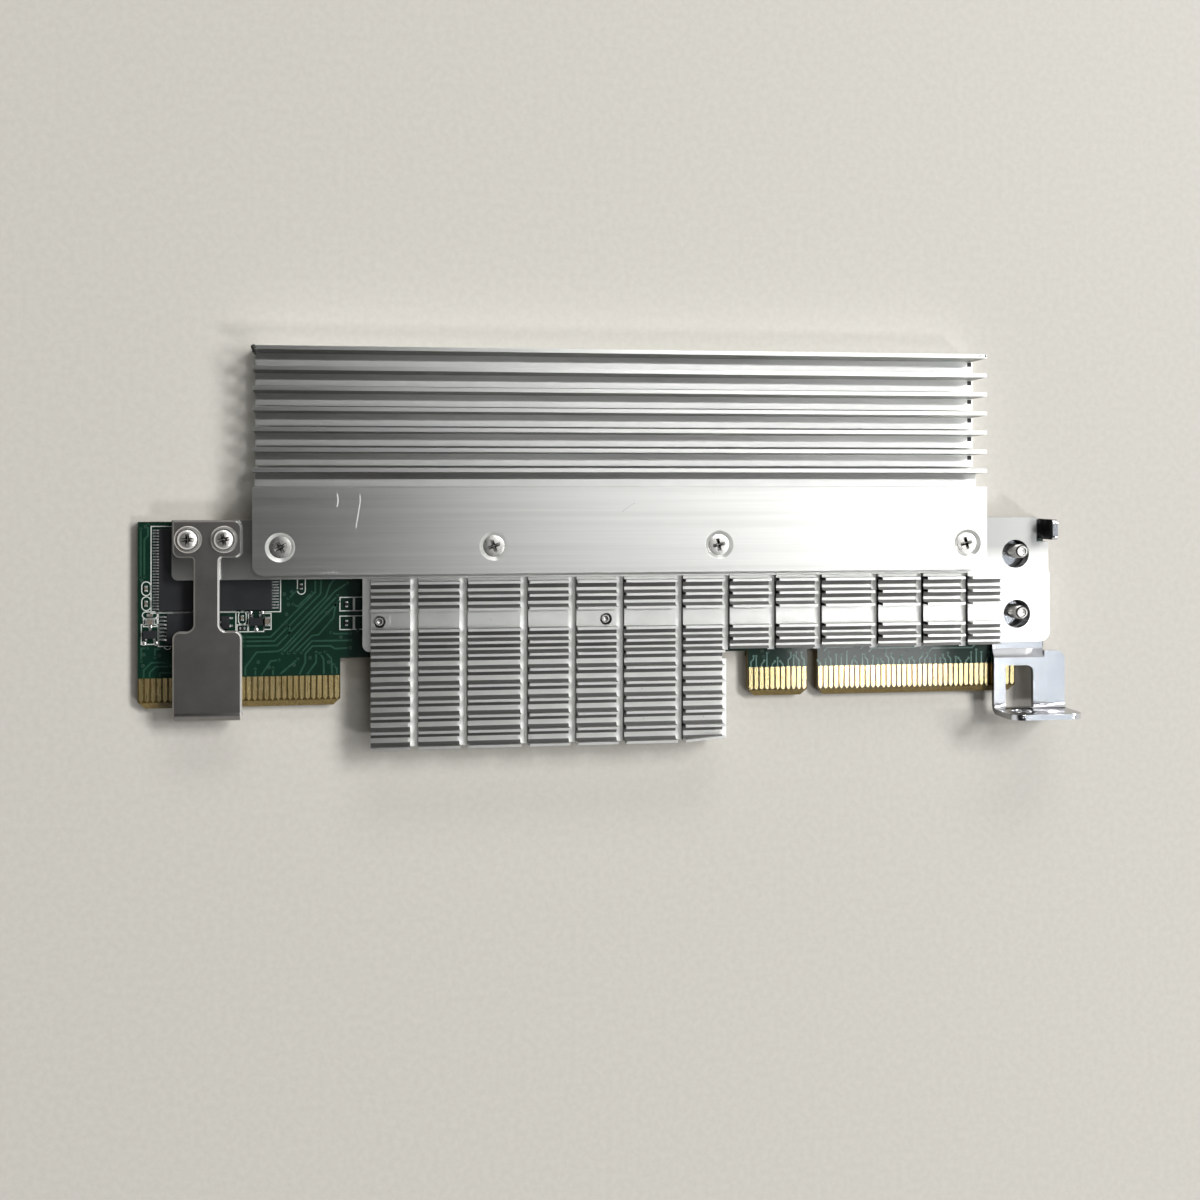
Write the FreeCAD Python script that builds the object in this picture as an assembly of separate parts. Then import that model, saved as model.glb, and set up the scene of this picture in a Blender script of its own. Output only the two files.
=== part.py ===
import FreeCAD
import Part
import os

from FreeCAD import Vector

# Storage controller card with a milled heat sink over its controller chip and a
# finned extension bolted to it. Millimetres. While it is built, X runs along the
# board from its left end, Y from the contact edge to the back edge, and Z up from
# the board's upper face. The finished pieces are then moved so that the origin is
# at the middle of the underside of the whole card.

# Circuit board
board_length = 164.0
board_width = 32.0
board_thickness = 1.6
tongue_depth = 8.2
tongue_corner = 1.2
bevel_length = 1.0
bevel_height = 0.45
key_width = 1.9
key_overrun = 0.2
main_tongue_margin = 5.6
count_before_key = 11
side_count_after_key = 21
main_count_after_key = 38

# Edge contacts
contact_pitch = 1.0
contact_width = 0.7
contact_length = 4.15
contact_tip = 0.45
contact_bevel_gap = 0.05
contact_end_margin = 0.575
contact_thickness = 0.06

# Controller chip
chip_size = 21.0
chip_thickness = 0.8
chip_lid_size = 16.0
chip_lid_thickness = 0.5
pad_thickness = 0.2
chip_middle_y = 20.2

# Controller heat sink
land_thickness = 2.0
cut_floor_thickness = 1.7
floor_thickness = 2.55
fin_height = 2.45
fin_thickness = 0.45
land_left = 6.05
land_width = 10.2
land_corner = 1.0
sink_overhang = 0.35
sink_end_setback = 0.6
ledge_width = 1.4
ledge_corner = 1.26
band_margin = 1.415
block_left = 39.4
block_length = 62.1
end_plate_length = 9.7
plate_corner = 2.0
first_fin_gap = 0.69
back_fin_count = 3
back_fin_pitch = 2.31
screw_channel_pitch = 3.58
band_fin_count = 2
band_fin_pitch = 2.17
step_fin_pitch = 2.17
block_fin_count = 6
block_fin_pitch = 2.62
cut_width = 1.4
first_cell = 6.75
narrow_cell = 7.12
wide_cell = 9.2
cell_pattern = "nwnnwnnnwnn"
boss_diameter = 5.0
bent_fin_lean = 0.62

# Extension heat sink
extension_gap = 1.85
extension_end_setback = 13.2
flange_front_gap = 0.85
flange_width = 14.95
flange_thickness = 3.0
flange_corner = 1.8
web_thickness = 2.5
channel_depth = 6.7
inner_channel_depth = 5.2
extension_floor = 1.9
extension_fin_count = 7
extension_fin_pitch = 3.465
extension_fin_tip = 0.7
extension_fin_root = 1.0
inner_channel_pitch = 2.92

# Fasteners
thread_diameter = 2.0
thread_clearance = 0.05
through_clearance = 0.2
flat_head_diameter = 3.8
countersink_diameter = 5.0
flange_screw_inset = 4.6
flange_screw_steps = (36.3, 76.2)
flange_screw_end_inset = 3.7
flange_screw_setback = 4.75
flange_screw_turns = (28.0, 20.0, 12.0, 15.0)
recess_length = 2.1
recess_width = 0.55
recess_depth = 0.6
low_head_diameter = 3.8
low_head_height = 0.5
sink_screw_inset = 1.5
sink_screw_pitch = 39.55
sink_screw_offset = 2.14
sink_screw_drop = 0.35
stud_diameter = 2.5
stud_head_diameter = 4.6
stud_height = 4.6
stud_chamfer = 0.3
stud_hole_diameter = 5.2
stud_hole_inset = 6.4
stud_hole_setbacks = (17.75, 6.75)
stud_shift_x = 0.85
stud_shifts_y = (0.25, 0.5)

# Paddle bracket
paddle_sheet = 1.0
paddle_inset = 0.2
paddle_width = 11.5
tab_length = 6.4
neck_offset = 3.47
neck_width = 4.3
paddle_back = 13.55
paddle_front = -1.8
paddle_drop = 3.0
paddle_bend = 0.5
paddle_corner = 1.3
neck_corner = 1.2
tab_neck_corner = 0.5
paddle_edge_break = 0.3
paddle_screw_offsets = (2.6, 8.55)
paddle_screw_setback = 3.25
paddle_screw_turns = (0.0, 12.0)
pan_head_diameter = 3.6
pan_head_height = 1.2
pan_head_crown = 2.0
pan_head_rim = 3.1
pan_head_rim_drop = 0.25
pan_head_shoulder = 0.5
washer_diameter = 4.6
washer_thickness = 0.4
washer_chamfer = 0.15

# End bracket
bracket_sheet = 1.0
bracket_reach = 10.45
bracket_base_width = 9.85
bracket_width = 13.85
bracket_base_front = 7.9
joggle_rise = 0.8
joggle_length = 1.6
shoulder_back = 7.5
shoulder_corner = 1.7
window_offset = 2.25
window_width = 5.4
window_foot_gap = 0.2
window_back_margin = 1.45
window_corner = 1.3
foot_front = -4.1
foot_top = 10.1
foot_bend = 0.8
foot_corner = 2.4
foot_hole_diameter = 4.5
foot_hole_offset = 4.1
foot_hole_rise = 3.8
hook_width = 3.7
hook_top = 7.5
hook_bend = 0.5
hook_corner = 0.7
hook_relief = 0.5
hook_clearance = 0.4
hook_notch_gap = 1.3

# Surface mounted parts
lead_thickness = 0.13
body_lift = 0.1
flash_body = (18.9, 14.0, 1.0)
flash_middle = (13.1, 23.8)
flash_lead_count = 28
flash_lead_pitch = 0.5
flash_lead_width = 0.22
flash_lead_reach = 0.9
flash_lead_foot = 0.5
logic_body = (5.3, 5.0, 1.2)
logic_middle = (7.6, 13.76)
logic_lead_count = 7
logic_lead_pitch = 0.65
logic_lead_width = 0.28
logic_lead_reach = 1.25
logic_lead_foot = 0.7
transistor_body = (2.2, 1.35, 0.9)
transistor_lead_width = 0.35
transistor_lead_reach = 0.55
transistor_lead_foot = 0.3
transistor_lead_pitch = 1.35
transistors = ((2.1, 12.75, 180.0), (19.85, 14.75, 0.0), (14.7, 14.7, -90.0))
small_chip = (1.0, 0.5, 0.45)
large_chip = (1.6, 0.8, 0.6)
small_terminal = 0.25
large_terminal = 0.35
capacitors_large = ((2.12, 14.89, 0.0), (21.74, 14.72, 90.0))
capacitors_small = ((1.42, 20.58, 90.0), (1.43, 18.01, 90.0), (2.04, 16.04, 0.0), (17.51, 15.36, 90.0))
resistors_small = ((17.52, 13.57, 0.0), (27.5, 20.7, 90.0), (35.28, 17.54, 90.0), (35.28, 14.28, 90.0))

# How close two coordinates are to count as the same place
same_place = 1e-6

# Levels worked out from the sizes above
sink_standoff = chip_thickness + chip_lid_thickness + pad_thickness
land_top = sink_standoff + land_thickness
cut_floor_top = sink_standoff + cut_floor_thickness
floor_top = sink_standoff + floor_thickness
fin_top = floor_top + fin_height
flange_top = land_top + flange_thickness
extension_floor_top = flange_top - channel_depth
extension_underside = extension_floor_top - extension_floor
flange_screw_sink = (countersink_diameter - flat_head_diameter) / 2
paddle_top = land_top + paddle_sheet
sheet_top = bracket_sheet + joggle_rise

# Places worked out from the sizes above
sink_back = board_width + sink_overhang
sink_right = board_length - sink_end_setback
land_front = sink_back - land_width
block_right = block_left + block_length
fin_right = sink_right - end_plate_length
flange_front = land_front + flange_front_gap
flange_back = flange_front + flange_width
paddle_left = land_left + paddle_inset
paddle_right = paddle_left + paddle_width
tab_front = sink_back - tab_length
neck_left = paddle_left + neck_offset
neck_right = neck_left + neck_width
paddle_screw_x = [paddle_left + offset for offset in paddle_screw_offsets]
paddle_screw_y = sink_back - paddle_screw_setback
extension_left = paddle_right + extension_gap
extension_right = sink_right - extension_end_setback
first_flange_screw = extension_left + flange_screw_inset
flange_screw_x = [first_flange_screw]
flange_screw_x += [first_flange_screw + step for step in flange_screw_steps]
flange_screw_x.append(extension_right - flange_screw_end_inset)
flange_screw_y = flange_front + flange_screw_setback
bracket_left = board_length - bracket_reach
bracket_base_right = bracket_left + bracket_base_width
bracket_right = bracket_left + bracket_width
joggle_front = bracket_base_front - joggle_length
foot_back = foot_front + bracket_sheet
hook_left = bracket_base_right - bracket_sheet
hook_front = board_width - hook_width
stud_hole_x = sink_right - stud_hole_inset
stud_hole_y = [sink_back - setback for setback in stud_hole_setbacks]
stud_x = stud_hole_x + stud_shift_x
stud_y = [y + shift for y, shift in zip(stud_hole_y, stud_shifts_y)]


def box(x0, x1, y0, y1, z0, z1):
    """A box between two corners."""
    return Part.makeBox(x1 - x0, y1 - y0, z1 - z0, Vector(x0, y0, z0))


def rod(x, y, z0, z1, diameter):
    """An upright cylinder."""
    return Part.makeCylinder(diameter / 2, z1 - z0, Vector(x, y, z0))


def prism(points, direction):
    """A flat outline of straight edges, pushed along a direction."""
    return Part.Face(Part.makePolygon(points + points[:1])).extrude(direction)


def fuse(shapes):
    """One clean solid from several that touch or overlap."""
    whole = shapes[0].multiFuse(shapes[1:]) if len(shapes) > 1 else shapes[0]
    return whole.removeSplitter()


def edges_at(shape, **place):
    """Edges whose ends all lie at the given coordinates, such as y=0, z=2."""
    chosen = []
    for edge in shape.Edges:
        ends = [vertex.Point for vertex in edge.Vertexes]
        if all(abs(getattr(end, axis) - value) < same_place for end in ends for axis, value in place.items()):
            chosen.append(edge)
    return chosen


def round_upright(shape, places, radius):
    """Round the upright edges that stand at the given X and Y."""
    chosen = []
    for x, y in places:
        chosen += edges_at(shape, x=x, y=y)
    return shape.makeFillet(radius, chosen)


def turned(shape, x, y, angle):
    """Turn a piece made at the origin and stand it at X and Y."""
    copy = shape.copy()
    copy.rotate(Vector(0, 0, 0), Vector(0, 0, 1), angle)
    copy.translate(Vector(x, y, 0))
    return copy


def segment_length(contacts):
    """Length of the stretch of tongue that carries so many contacts."""
    return 2 * contact_end_margin + (contacts - 1) * contact_pitch


def tongue_segments(start, count_after_key):
    """Start and contact count of the two stretches on either side of a key slot."""
    second = start + segment_length(count_before_key) + key_width
    return ((start, count_before_key), (second, count_after_key))


main_tongue_length = segment_length(count_before_key) + key_width + segment_length(main_count_after_key)
side_tongue = tongue_segments(0, side_count_after_key)
main_tongue = tongue_segments(board_length - main_tongue_margin - main_tongue_length, main_count_after_key)


def tongue_segment(start, contacts):
    """One stretch of tongue, with clipped corners and a bevelled leading edge."""
    end = start + segment_length(contacts)
    low = -board_thickness
    outline = [
        Vector(start, tongue_depth, low),
        Vector(start, tongue_corner, low),
        Vector(start + tongue_corner, 0, low),
        Vector(end - tongue_corner, 0, low),
        Vector(end, tongue_corner, low),
        Vector(end, tongue_depth, low),
    ]
    blank = prism(outline, Vector(0, 0, board_thickness))
    section = [
        Vector(start, tongue_depth, 0),
        Vector(start, bevel_length, 0),
        Vector(start, 0, -bevel_height),
        Vector(start, 0, low + bevel_height),
        Vector(start, bevel_length, low),
        Vector(start, tongue_depth, low),
    ]
    return blank.common(prism(section, Vector(end - start, 0, 0)))


def circuit_board():
    """The board with its two connector tongues, key slots and screw holes."""
    pieces = [box(0, board_length, tongue_depth, board_width, -board_thickness, 0)]
    for start, contacts in side_tongue + main_tongue:
        pieces.append(tongue_segment(start, contacts))
    board = fuse(pieces)
    for tongue in (side_tongue, main_tongue):
        middle = tongue[1][0] - key_width / 2
        round_y = tongue_depth + key_overrun - key_width / 2
        board = board.cut(rod(middle, round_y, -board_thickness, 0, key_width))
    for x in sink_screw_x:
        hole = thread_diameter + 2 * through_clearance
        board = board.cut(rod(x, sink_screw_y, -board_thickness, 0, hole))
    for y in stud_y:
        hole = stud_diameter + 2 * through_clearance
        board = board.cut(rod(stud_x, y, -board_thickness, 0, hole))
    return board


def contacts(tongue, low):
    """The row of pointed contacts on one face of a tongue."""
    tip_y = bevel_length + contact_bevel_gap
    shoulder_y = tip_y + contact_tip
    top_y = tip_y + contact_length
    half = contact_width / 2
    made = []
    for start, count in tongue:
        for index in range(count):
            x = start + contact_end_margin + index * contact_pitch
            outline = [
                Vector(x, tip_y, low),
                Vector(x + half, shoulder_y, low),
                Vector(x + half, top_y, low),
                Vector(x - half, top_y, low),
                Vector(x - half, shoulder_y, low),
            ]
            made.append(prism(outline, Vector(0, 0, contact_thickness)))
    return Part.makeCompound(made)


def fin_rows():
    """Y of every fin of the controller heat sink, from the land forwards."""
    steps = [back_fin_pitch] * (back_fin_count - 1)
    steps += [screw_channel_pitch]
    steps += [band_fin_pitch] * (band_fin_count - 1)
    steps += [step_fin_pitch]
    steps += [block_fin_pitch] * block_fin_count
    rows = [land_front - first_fin_gap]
    for step in steps:
        rows.append(rows[-1] - step)
    return rows


fins = fin_rows()
band_front = fins[back_fin_count + band_fin_count - 1] - fin_thickness / 2 - band_margin
sink_screw_x = [block_left + sink_screw_inset, block_left + sink_screw_inset + sink_screw_pitch]
sink_screw_y = fins[back_fin_count - 1] - sink_screw_offset
chip_middle_x = sum(sink_screw_x) / len(sink_screw_x)


def square_plate(size, z0, z1):
    """A square plate centred on the controller chip."""
    half = size / 2
    left = chip_middle_x - half
    front = chip_middle_y - half
    return box(left, left + size, front, front + size, z0, z1)


def controller_chip():
    """Chip carrier with a raised lid."""
    carrier = square_plate(chip_size, 0, chip_thickness)
    lid = square_plate(chip_lid_size, chip_thickness, chip_thickness + chip_lid_thickness)
    return fuse([carrier, lid])


def thermal_pad():
    """The pad that fills the space between the chip's lid and the heat sink."""
    return square_plate(chip_lid_size, chip_thickness + chip_lid_thickness, sink_standoff)


def block_front():
    """The front of the block is flush with its last fin."""
    return fins[-1] - fin_thickness / 2


def cross_cuts():
    """Left wall of each cut across the fins."""
    cell_length = {"n": narrow_cell, "w": wide_cell}
    lefts = [block_left + first_cell]
    for letter in cell_pattern:
        lefts.append(lefts[-1] + cut_width + cell_length[letter])
    return lefts


def bent_fin(left):
    """The last stretch of the front fin, knocked so that its crown leans back at the free end."""
    half = fin_thickness / 2
    ends = []
    for x, lean in ((left, 0), (block_right, bent_fin_lean)):
        ends.append((
            Vector(x, fins[-1] - half, floor_top),
            Vector(x, fins[-1] + half, floor_top),
            Vector(x, fins[-1] + half + lean, fin_top),
            Vector(x, fins[-1] - half + lean, fin_top),
        ))
    near, far = ends
    outlines = [near, far, (near[0], near[1], far[1], far[0]), (near[3], near[2], far[2], far[3])]
    for low, high in ((0, 3), (1, 2)):
        outlines += [(near[low], near[high], far[high]), (near[low], far[high], far[low])]
    faces = [Part.Face(Part.makePolygon(list(outline) + [outline[0]])) for outline in outlines]
    return Part.makeSolid(Part.makeShell(faces))


def finned_body():
    """The raised floor with its fins, sliced across by the cuts."""
    front = block_front()
    pieces = [
        box(block_left, sink_right, band_front, land_front, cut_floor_top, floor_top),
        box(block_left, block_right, front, band_front, cut_floor_top, floor_top),
    ]
    pieces[0] = round_upright(pieces[0], [(sink_right, band_front)], plate_corner)
    bend_start = [x + cut_width for x in cross_cuts() if x + cut_width < block_right][-1]
    for y in fins:
        right = fin_right if y > band_front else block_right
        if y == fins[-1]:
            right = bend_start
        half = fin_thickness / 2
        pieces.append(box(block_left, right, y - half, y + half, floor_top, fin_top))
    pieces.append(bent_fin(bend_start))
    body = fuse(pieces)
    slices = [box(x, x + cut_width, front, land_front, cut_floor_top, fin_top) for x in cross_cuts()]
    return body.cut(Part.makeCompound(slices))


def controller_heat_sink():
    """Milled heat sink: land, ledge, finned band, plain end plate and front block."""
    ledge_left = block_left - ledge_width
    land = box(land_left, sink_right, land_front, sink_back, sink_standoff, land_top)
    land = round_upright(land, [(land_left, land_front)], land_corner)
    band = box(ledge_left, sink_right, band_front, land_front, sink_standoff, cut_floor_top)
    band = round_upright(band, [(ledge_left, band_front)], ledge_corner)
    band = round_upright(band, [(sink_right, band_front)], plate_corner)
    block = box(block_left, block_right, block_front(), band_front, sink_standoff, cut_floor_top)
    bosses = [rod(x, sink_screw_y, 0, sink_standoff, boss_diameter) for x in sink_screw_x]
    sink = fuse([land, band, block, finned_body()] + bosses)
    tapped = thread_diameter + 2 * thread_clearance
    cuts = [rod(x, sink_screw_y, 0, fin_top, tapped) for x in sink_screw_x]
    cuts += [rod(x, flange_screw_y, sink_standoff, land_top, tapped) for x in flange_screw_x]
    cuts += [rod(x, paddle_screw_y, sink_standoff, land_top, tapped) for x in paddle_screw_x]
    cuts += [rod(stud_hole_x, y, sink_standoff, floor_top, stud_hole_diameter) for y in stud_hole_y]
    notch_left = hook_left - hook_notch_gap
    notch_front = hook_front - hook_clearance
    cuts.append(box(notch_left, sink_right, notch_front, sink_back, sink_standoff, land_top))
    return sink.cut(Part.makeCompound(cuts))


def extension_section():
    """Outline of the extension's web, floor and fins, seen along X."""
    x = extension_left
    inner_y = flange_back + inner_channel_pitch
    rows = [inner_y + index * extension_fin_pitch for index in range(extension_fin_count)]
    outer = rows[-1] + extension_fin_root / 2
    points = [
        Vector(x, flange_back - web_thickness, land_top),
        Vector(x, flange_back - web_thickness, extension_underside),
        Vector(x, outer, extension_underside),
    ]
    for index, y in reversed(list(enumerate(rows))):
        inner_floor = flange_top - inner_channel_depth if index == 0 else extension_floor_top
        points += [
            Vector(x, y + extension_fin_root / 2, extension_floor_top),
            Vector(x, y + extension_fin_tip / 2, flange_top),
            Vector(x, y - extension_fin_tip / 2, flange_top),
            Vector(x, y - extension_fin_root / 2, inner_floor),
        ]
    points.append(Vector(x, flange_back, flange_top - inner_channel_depth))
    points.append(Vector(x, flange_back, land_top))
    return points


def extension_heat_sink():
    """Extruded fins that hang beyond the board's back edge from a bolted flange."""
    flange = box(extension_left, extension_right, flange_front, flange_back, land_top, flange_top)
    corners = [(extension_left, flange_front), (extension_right, flange_front)]
    flange = round_upright(flange, corners, flange_corner)
    channel = prism(extension_section(), Vector(extension_right - extension_left, 0, 0))
    sink = fuse([flange, channel])
    hole = thread_diameter + 2 * through_clearance
    cone_depth = (countersink_diameter - hole) / 2
    for x in flange_screw_x:
        foot = Vector(x, flange_screw_y, flange_top - cone_depth)
        cone = Part.makeCone(hole / 2, countersink_diameter / 2, cone_depth, foot)
        sink = sink.cut(rod(x, flange_screw_y, land_top, flange_top, hole)).cut(cone)
    return sink


def cross_recess(top):
    """Tool that cuts a cross-shaped driver recess down from a level."""
    long, wide = recess_length / 2, recess_width / 2
    first = box(-long, long, -wide, wide, top - recess_depth, top)
    second = box(-wide, wide, -long, long, top - recess_depth, top)
    return fuse([first, second])


def flange_screws():
    """Flat head screws seated in the flange's countersinks, threaded into the land."""
    head_top = flange_top - flange_screw_sink
    cone_depth = (flat_head_diameter - thread_diameter) / 2
    foot = Vector(0, 0, head_top - cone_depth)
    head = Part.makeCone(thread_diameter / 2, flat_head_diameter / 2, cone_depth, foot)
    shank = rod(0, 0, sink_standoff, head_top - cone_depth, thread_diameter)
    screw = fuse([head, shank]).cut(cross_recess(head_top))
    places = zip(flange_screw_x, flange_screw_turns)
    return Part.makeCompound([turned(screw, x, flange_screw_y, turn) for x, turn in places])


def low_screw(diameter, head_diameter, tip_z):
    """Low headed screw put up through the board from below, made at the origin."""
    head = rod(0, 0, -board_thickness - low_head_height, -board_thickness, head_diameter)
    shank = rod(0, 0, -board_thickness, tip_z - stud_chamfer, diameter)
    tip_foot = Vector(0, 0, tip_z - stud_chamfer)
    tip = Part.makeCone(diameter / 2, diameter / 2 - stud_chamfer, stud_chamfer, tip_foot)
    return fuse([head, shank, tip])


def heat_sink_screws():
    """Two screws that pull the heat sink onto the chip, their tips just under its floor."""
    screw = low_screw(thread_diameter, low_head_diameter, floor_top - sink_screw_drop)
    return Part.makeCompound([turned(screw, x, sink_screw_y, 0) for x in sink_screw_x])


def end_bracket_screws():
    """Two screws through board and bracket, standing free in the heat sink's end holes."""
    screw = low_screw(stud_diameter, stud_head_diameter, stud_height)
    return Part.makeCompound([turned(screw, stud_x, y, 0) for y in stud_y])


def paddle_bracket():
    """Folded sheet: screwed tab, neck, and a paddle whose front edge turns down."""
    tab = box(paddle_left, paddle_right, tab_front, sink_back, land_top, paddle_top)
    tab_corners = [(paddle_left, tab_front), (paddle_right, tab_front), (paddle_right, sink_back)]
    tab = round_upright(tab, tab_corners, paddle_corner)
    paddle = box(paddle_left, paddle_right, paddle_front, paddle_back, land_top, paddle_top)
    paddle_corners = [(paddle_left, paddle_back), (paddle_right, paddle_back)]
    paddle = round_upright(paddle, paddle_corners, paddle_corner)
    neck = box(neck_left, neck_right, paddle_back, tab_front, land_top, paddle_top)
    flat = fuse([tab, neck, paddle])
    flat = round_upright(flat, [(neck_left, paddle_back), (neck_right, paddle_back)], neck_corner)
    flat = round_upright(flat, [(neck_left, tab_front), (neck_right, tab_front)], tab_neck_corner)
    lip_back = paddle_front + paddle_sheet
    lip = box(paddle_left, paddle_right, paddle_front, lip_back, paddle_top - paddle_drop, land_top)
    folded = fuse([flat, lip])
    folded = folded.makeFillet(paddle_bend, edges_at(folded, y=lip_back, z=land_top))
    outer_bend = paddle_bend + paddle_sheet
    folded = folded.makeFillet(outer_bend, edges_at(folded, y=paddle_front, z=paddle_top))
    flat_front = paddle_front + outer_bend + same_place
    rim = [edge for edge in edges_at(folded, z=paddle_top) if edge.CenterOfMass.y > flat_front]
    folded = folded.makeChamfer(paddle_edge_break, rim)
    hole = thread_diameter + 2 * through_clearance
    for x in paddle_screw_x:
        folded = folded.cut(rod(x, paddle_screw_y, land_top, paddle_top, hole))
    return folded


def paddle_washers():
    """Plain washers under the paddle's screw heads."""
    hole = thread_diameter + 2 * through_clearance
    top = paddle_top + washer_thickness
    disc = rod(0, 0, paddle_top, top, washer_diameter)
    washer = disc.makeChamfer(washer_chamfer, edges_at(disc, z=top))
    washer = washer.cut(rod(0, 0, paddle_top, top, hole))
    return Part.makeCompound([turned(washer, x, paddle_screw_y, 0) for x in paddle_screw_x])


def paddle_screws():
    """Pan head screws that hold the paddle bracket to the land."""
    head_foot = paddle_top + washer_thickness
    head_top = head_foot + pan_head_height
    outline = [
        Vector(0, 0, head_foot),
        Vector(pan_head_diameter / 2, 0, head_foot),
        Vector(pan_head_diameter / 2, 0, head_foot + pan_head_shoulder),
        Vector(pan_head_rim / 2, 0, head_top - pan_head_rim_drop),
        Vector(pan_head_crown / 2, 0, head_top),
        Vector(0, 0, head_top),
    ]
    section = Part.Face(Part.makePolygon(outline + outline[:1]))
    head = section.revolve(Vector(0, 0, 0), Vector(0, 0, 1), 360)
    shank = rod(0, 0, sink_standoff, head_foot, thread_diameter)
    screw = fuse([head, shank]).cut(cross_recess(head_top))
    places = zip(paddle_screw_x, paddle_screw_turns)
    return Part.makeCompound([turned(screw, x, paddle_screw_y, turn) for x, turn in places])


def bracket_hook():
    """Tab that stands up at the bracket's back corner."""
    tab = box(hook_left, bracket_base_right, hook_front, board_width, bracket_sheet, hook_top)
    crown = edges_at(tab, y=hook_front, z=hook_top) + edges_at(tab, y=board_width, z=hook_top)
    return tab.makeFillet(hook_corner, crown)


def bracket_base():
    """Flat base on the board, slit beside the hook so that the hook can bend up."""
    base = box(bracket_left, bracket_base_right, bracket_base_front, board_width, 0, bracket_sheet)
    slit_left = hook_left - hook_bend
    slit = box(slit_left, bracket_base_right, hook_front - hook_relief, hook_front, 0, bracket_sheet)
    return base.cut(slit)


def bracket_joggle():
    """The step between the bracket's base on the board and its raised front sheet."""
    section = [
        Vector(bracket_left, bracket_base_front, 0),
        Vector(bracket_left, joggle_front, joggle_rise),
        Vector(bracket_left, joggle_front, sheet_top),
        Vector(bracket_left, bracket_base_front, bracket_sheet),
    ]
    return prism(section, Vector(bracket_base_width, 0, 0))


def bracket_front():
    """Raised front sheet, wider than the base, with a rounded shoulder."""
    sheet = box(bracket_left, bracket_right, foot_front, joggle_front, joggle_rise, sheet_top)
    shoulder = box(bracket_base_right, bracket_right, joggle_front, shoulder_back, joggle_rise, sheet_top)
    return round_upright(fuse([sheet, shoulder]), [(bracket_right, shoulder_back)], shoulder_corner)


def bracket_foot():
    """Upright plate at the front of the bracket, with its screw hole."""
    plate = box(bracket_left, bracket_right, foot_front, foot_back, joggle_rise, foot_top)
    crown = edges_at(plate, x=bracket_left, z=foot_top) + edges_at(plate, x=bracket_right, z=foot_top)
    plate = plate.makeFillet(foot_corner, crown)
    hole_middle = Vector(bracket_left + foot_hole_offset, foot_front, sheet_top + foot_hole_rise)
    hole = Part.makeCylinder(foot_hole_diameter / 2, bracket_sheet, hole_middle, Vector(0, 1, 0))
    return plate.cut(hole)


def bracket_window():
    """Tool that cuts the window through the front sheet, into the foot's bend."""
    left = bracket_left + window_offset
    right = left + window_width
    front = foot_back + window_foot_gap
    back = joggle_front - window_back_margin
    window = box(left, right, front, back, joggle_rise, sheet_top + foot_bend)
    return round_upright(window, [(right, back)], window_corner)


def end_bracket():
    """Folded sheet at the board's right end: base, hook, windowed front and foot."""
    folded = fuse([bracket_base(), bracket_joggle(), bracket_front(), bracket_foot(), bracket_hook()])
    folded = folded.makeFillet(foot_bend, edges_at(folded, y=foot_back, z=sheet_top))
    folded = folded.makeFillet(foot_bend + bracket_sheet, edges_at(folded, y=foot_front, z=joggle_rise))
    folded = folded.makeFillet(hook_bend, edges_at(folded, x=hook_left, z=bracket_sheet))
    base_edges = edges_at(folded, x=bracket_base_right, z=0)
    hook_edges = [edge for edge in base_edges if edge.CenterOfMass.y > hook_front]
    folded = folded.makeFillet(hook_bend + bracket_sheet, hook_edges)
    folded = folded.cut(bracket_window())
    for y in stud_y:
        hole = stud_diameter + 2 * thread_clearance
        folded = folded.cut(rod(stud_x, y, 0, bracket_sheet, hole))
    return folded


def gull_wing(y, width, start_x, reach, foot, height):
    """One bent lead that leaves a body's right side and stands on the board."""
    low = y - width / 2
    knee = start_x + reach - foot
    section = [
        Vector(start_x, low, height),
        Vector(knee, low, lead_thickness),
        Vector(start_x + reach, low, lead_thickness),
        Vector(start_x + reach, low, 0),
        Vector(knee, low, 0),
        Vector(start_x, low, height - lead_thickness),
    ]
    return prism(section, Vector(0, width, 0))


def chip_body(size):
    """Moulded package lifted a little off the board, made at the origin."""
    length, width, height = size
    return box(-length / 2, length / 2, -width / 2, width / 2, body_lift, body_lift + height)


def lead_rows(size, count, pitch, width, reach, foot):
    """Two rows of leads along the short sides of a package, made at the origin."""
    length, _, height = size
    made = []
    for index in range(count):
        y = (index - (count - 1) / 2) * pitch
        lead = gull_wing(y, width, length / 2, reach, foot, body_lift + height / 2)
        made.append(lead)
        made.append(turned(lead, 0, 0, 180))
    return Part.makeCompound(made)


def flash_chip():
    """Memory package that reaches under the land."""
    return turned(chip_body(flash_body), flash_middle[0], flash_middle[1], 0)


def flash_chip_leads():
    """Its fine leads on both short sides."""
    rows = lead_rows(
        flash_body, flash_lead_count, flash_lead_pitch, flash_lead_width, flash_lead_reach, flash_lead_foot
    )
    return turned(rows, flash_middle[0], flash_middle[1], 0)


def logic_chip():
    """Small package half under the paddle bracket."""
    return turned(chip_body(logic_body), logic_middle[0], logic_middle[1], 0)


def logic_chip_leads():
    """Its leads on both sides."""
    rows = lead_rows(
        logic_body, logic_lead_count, logic_lead_pitch, logic_lead_width, logic_lead_reach, logic_lead_foot
    )
    return turned(rows, logic_middle[0], logic_middle[1], 0)


def small_transistors():
    """Three small moulded transistors."""
    return Part.makeCompound([turned(chip_body(transistor_body), x, y, turn) for x, y, turn in transistors])


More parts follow.
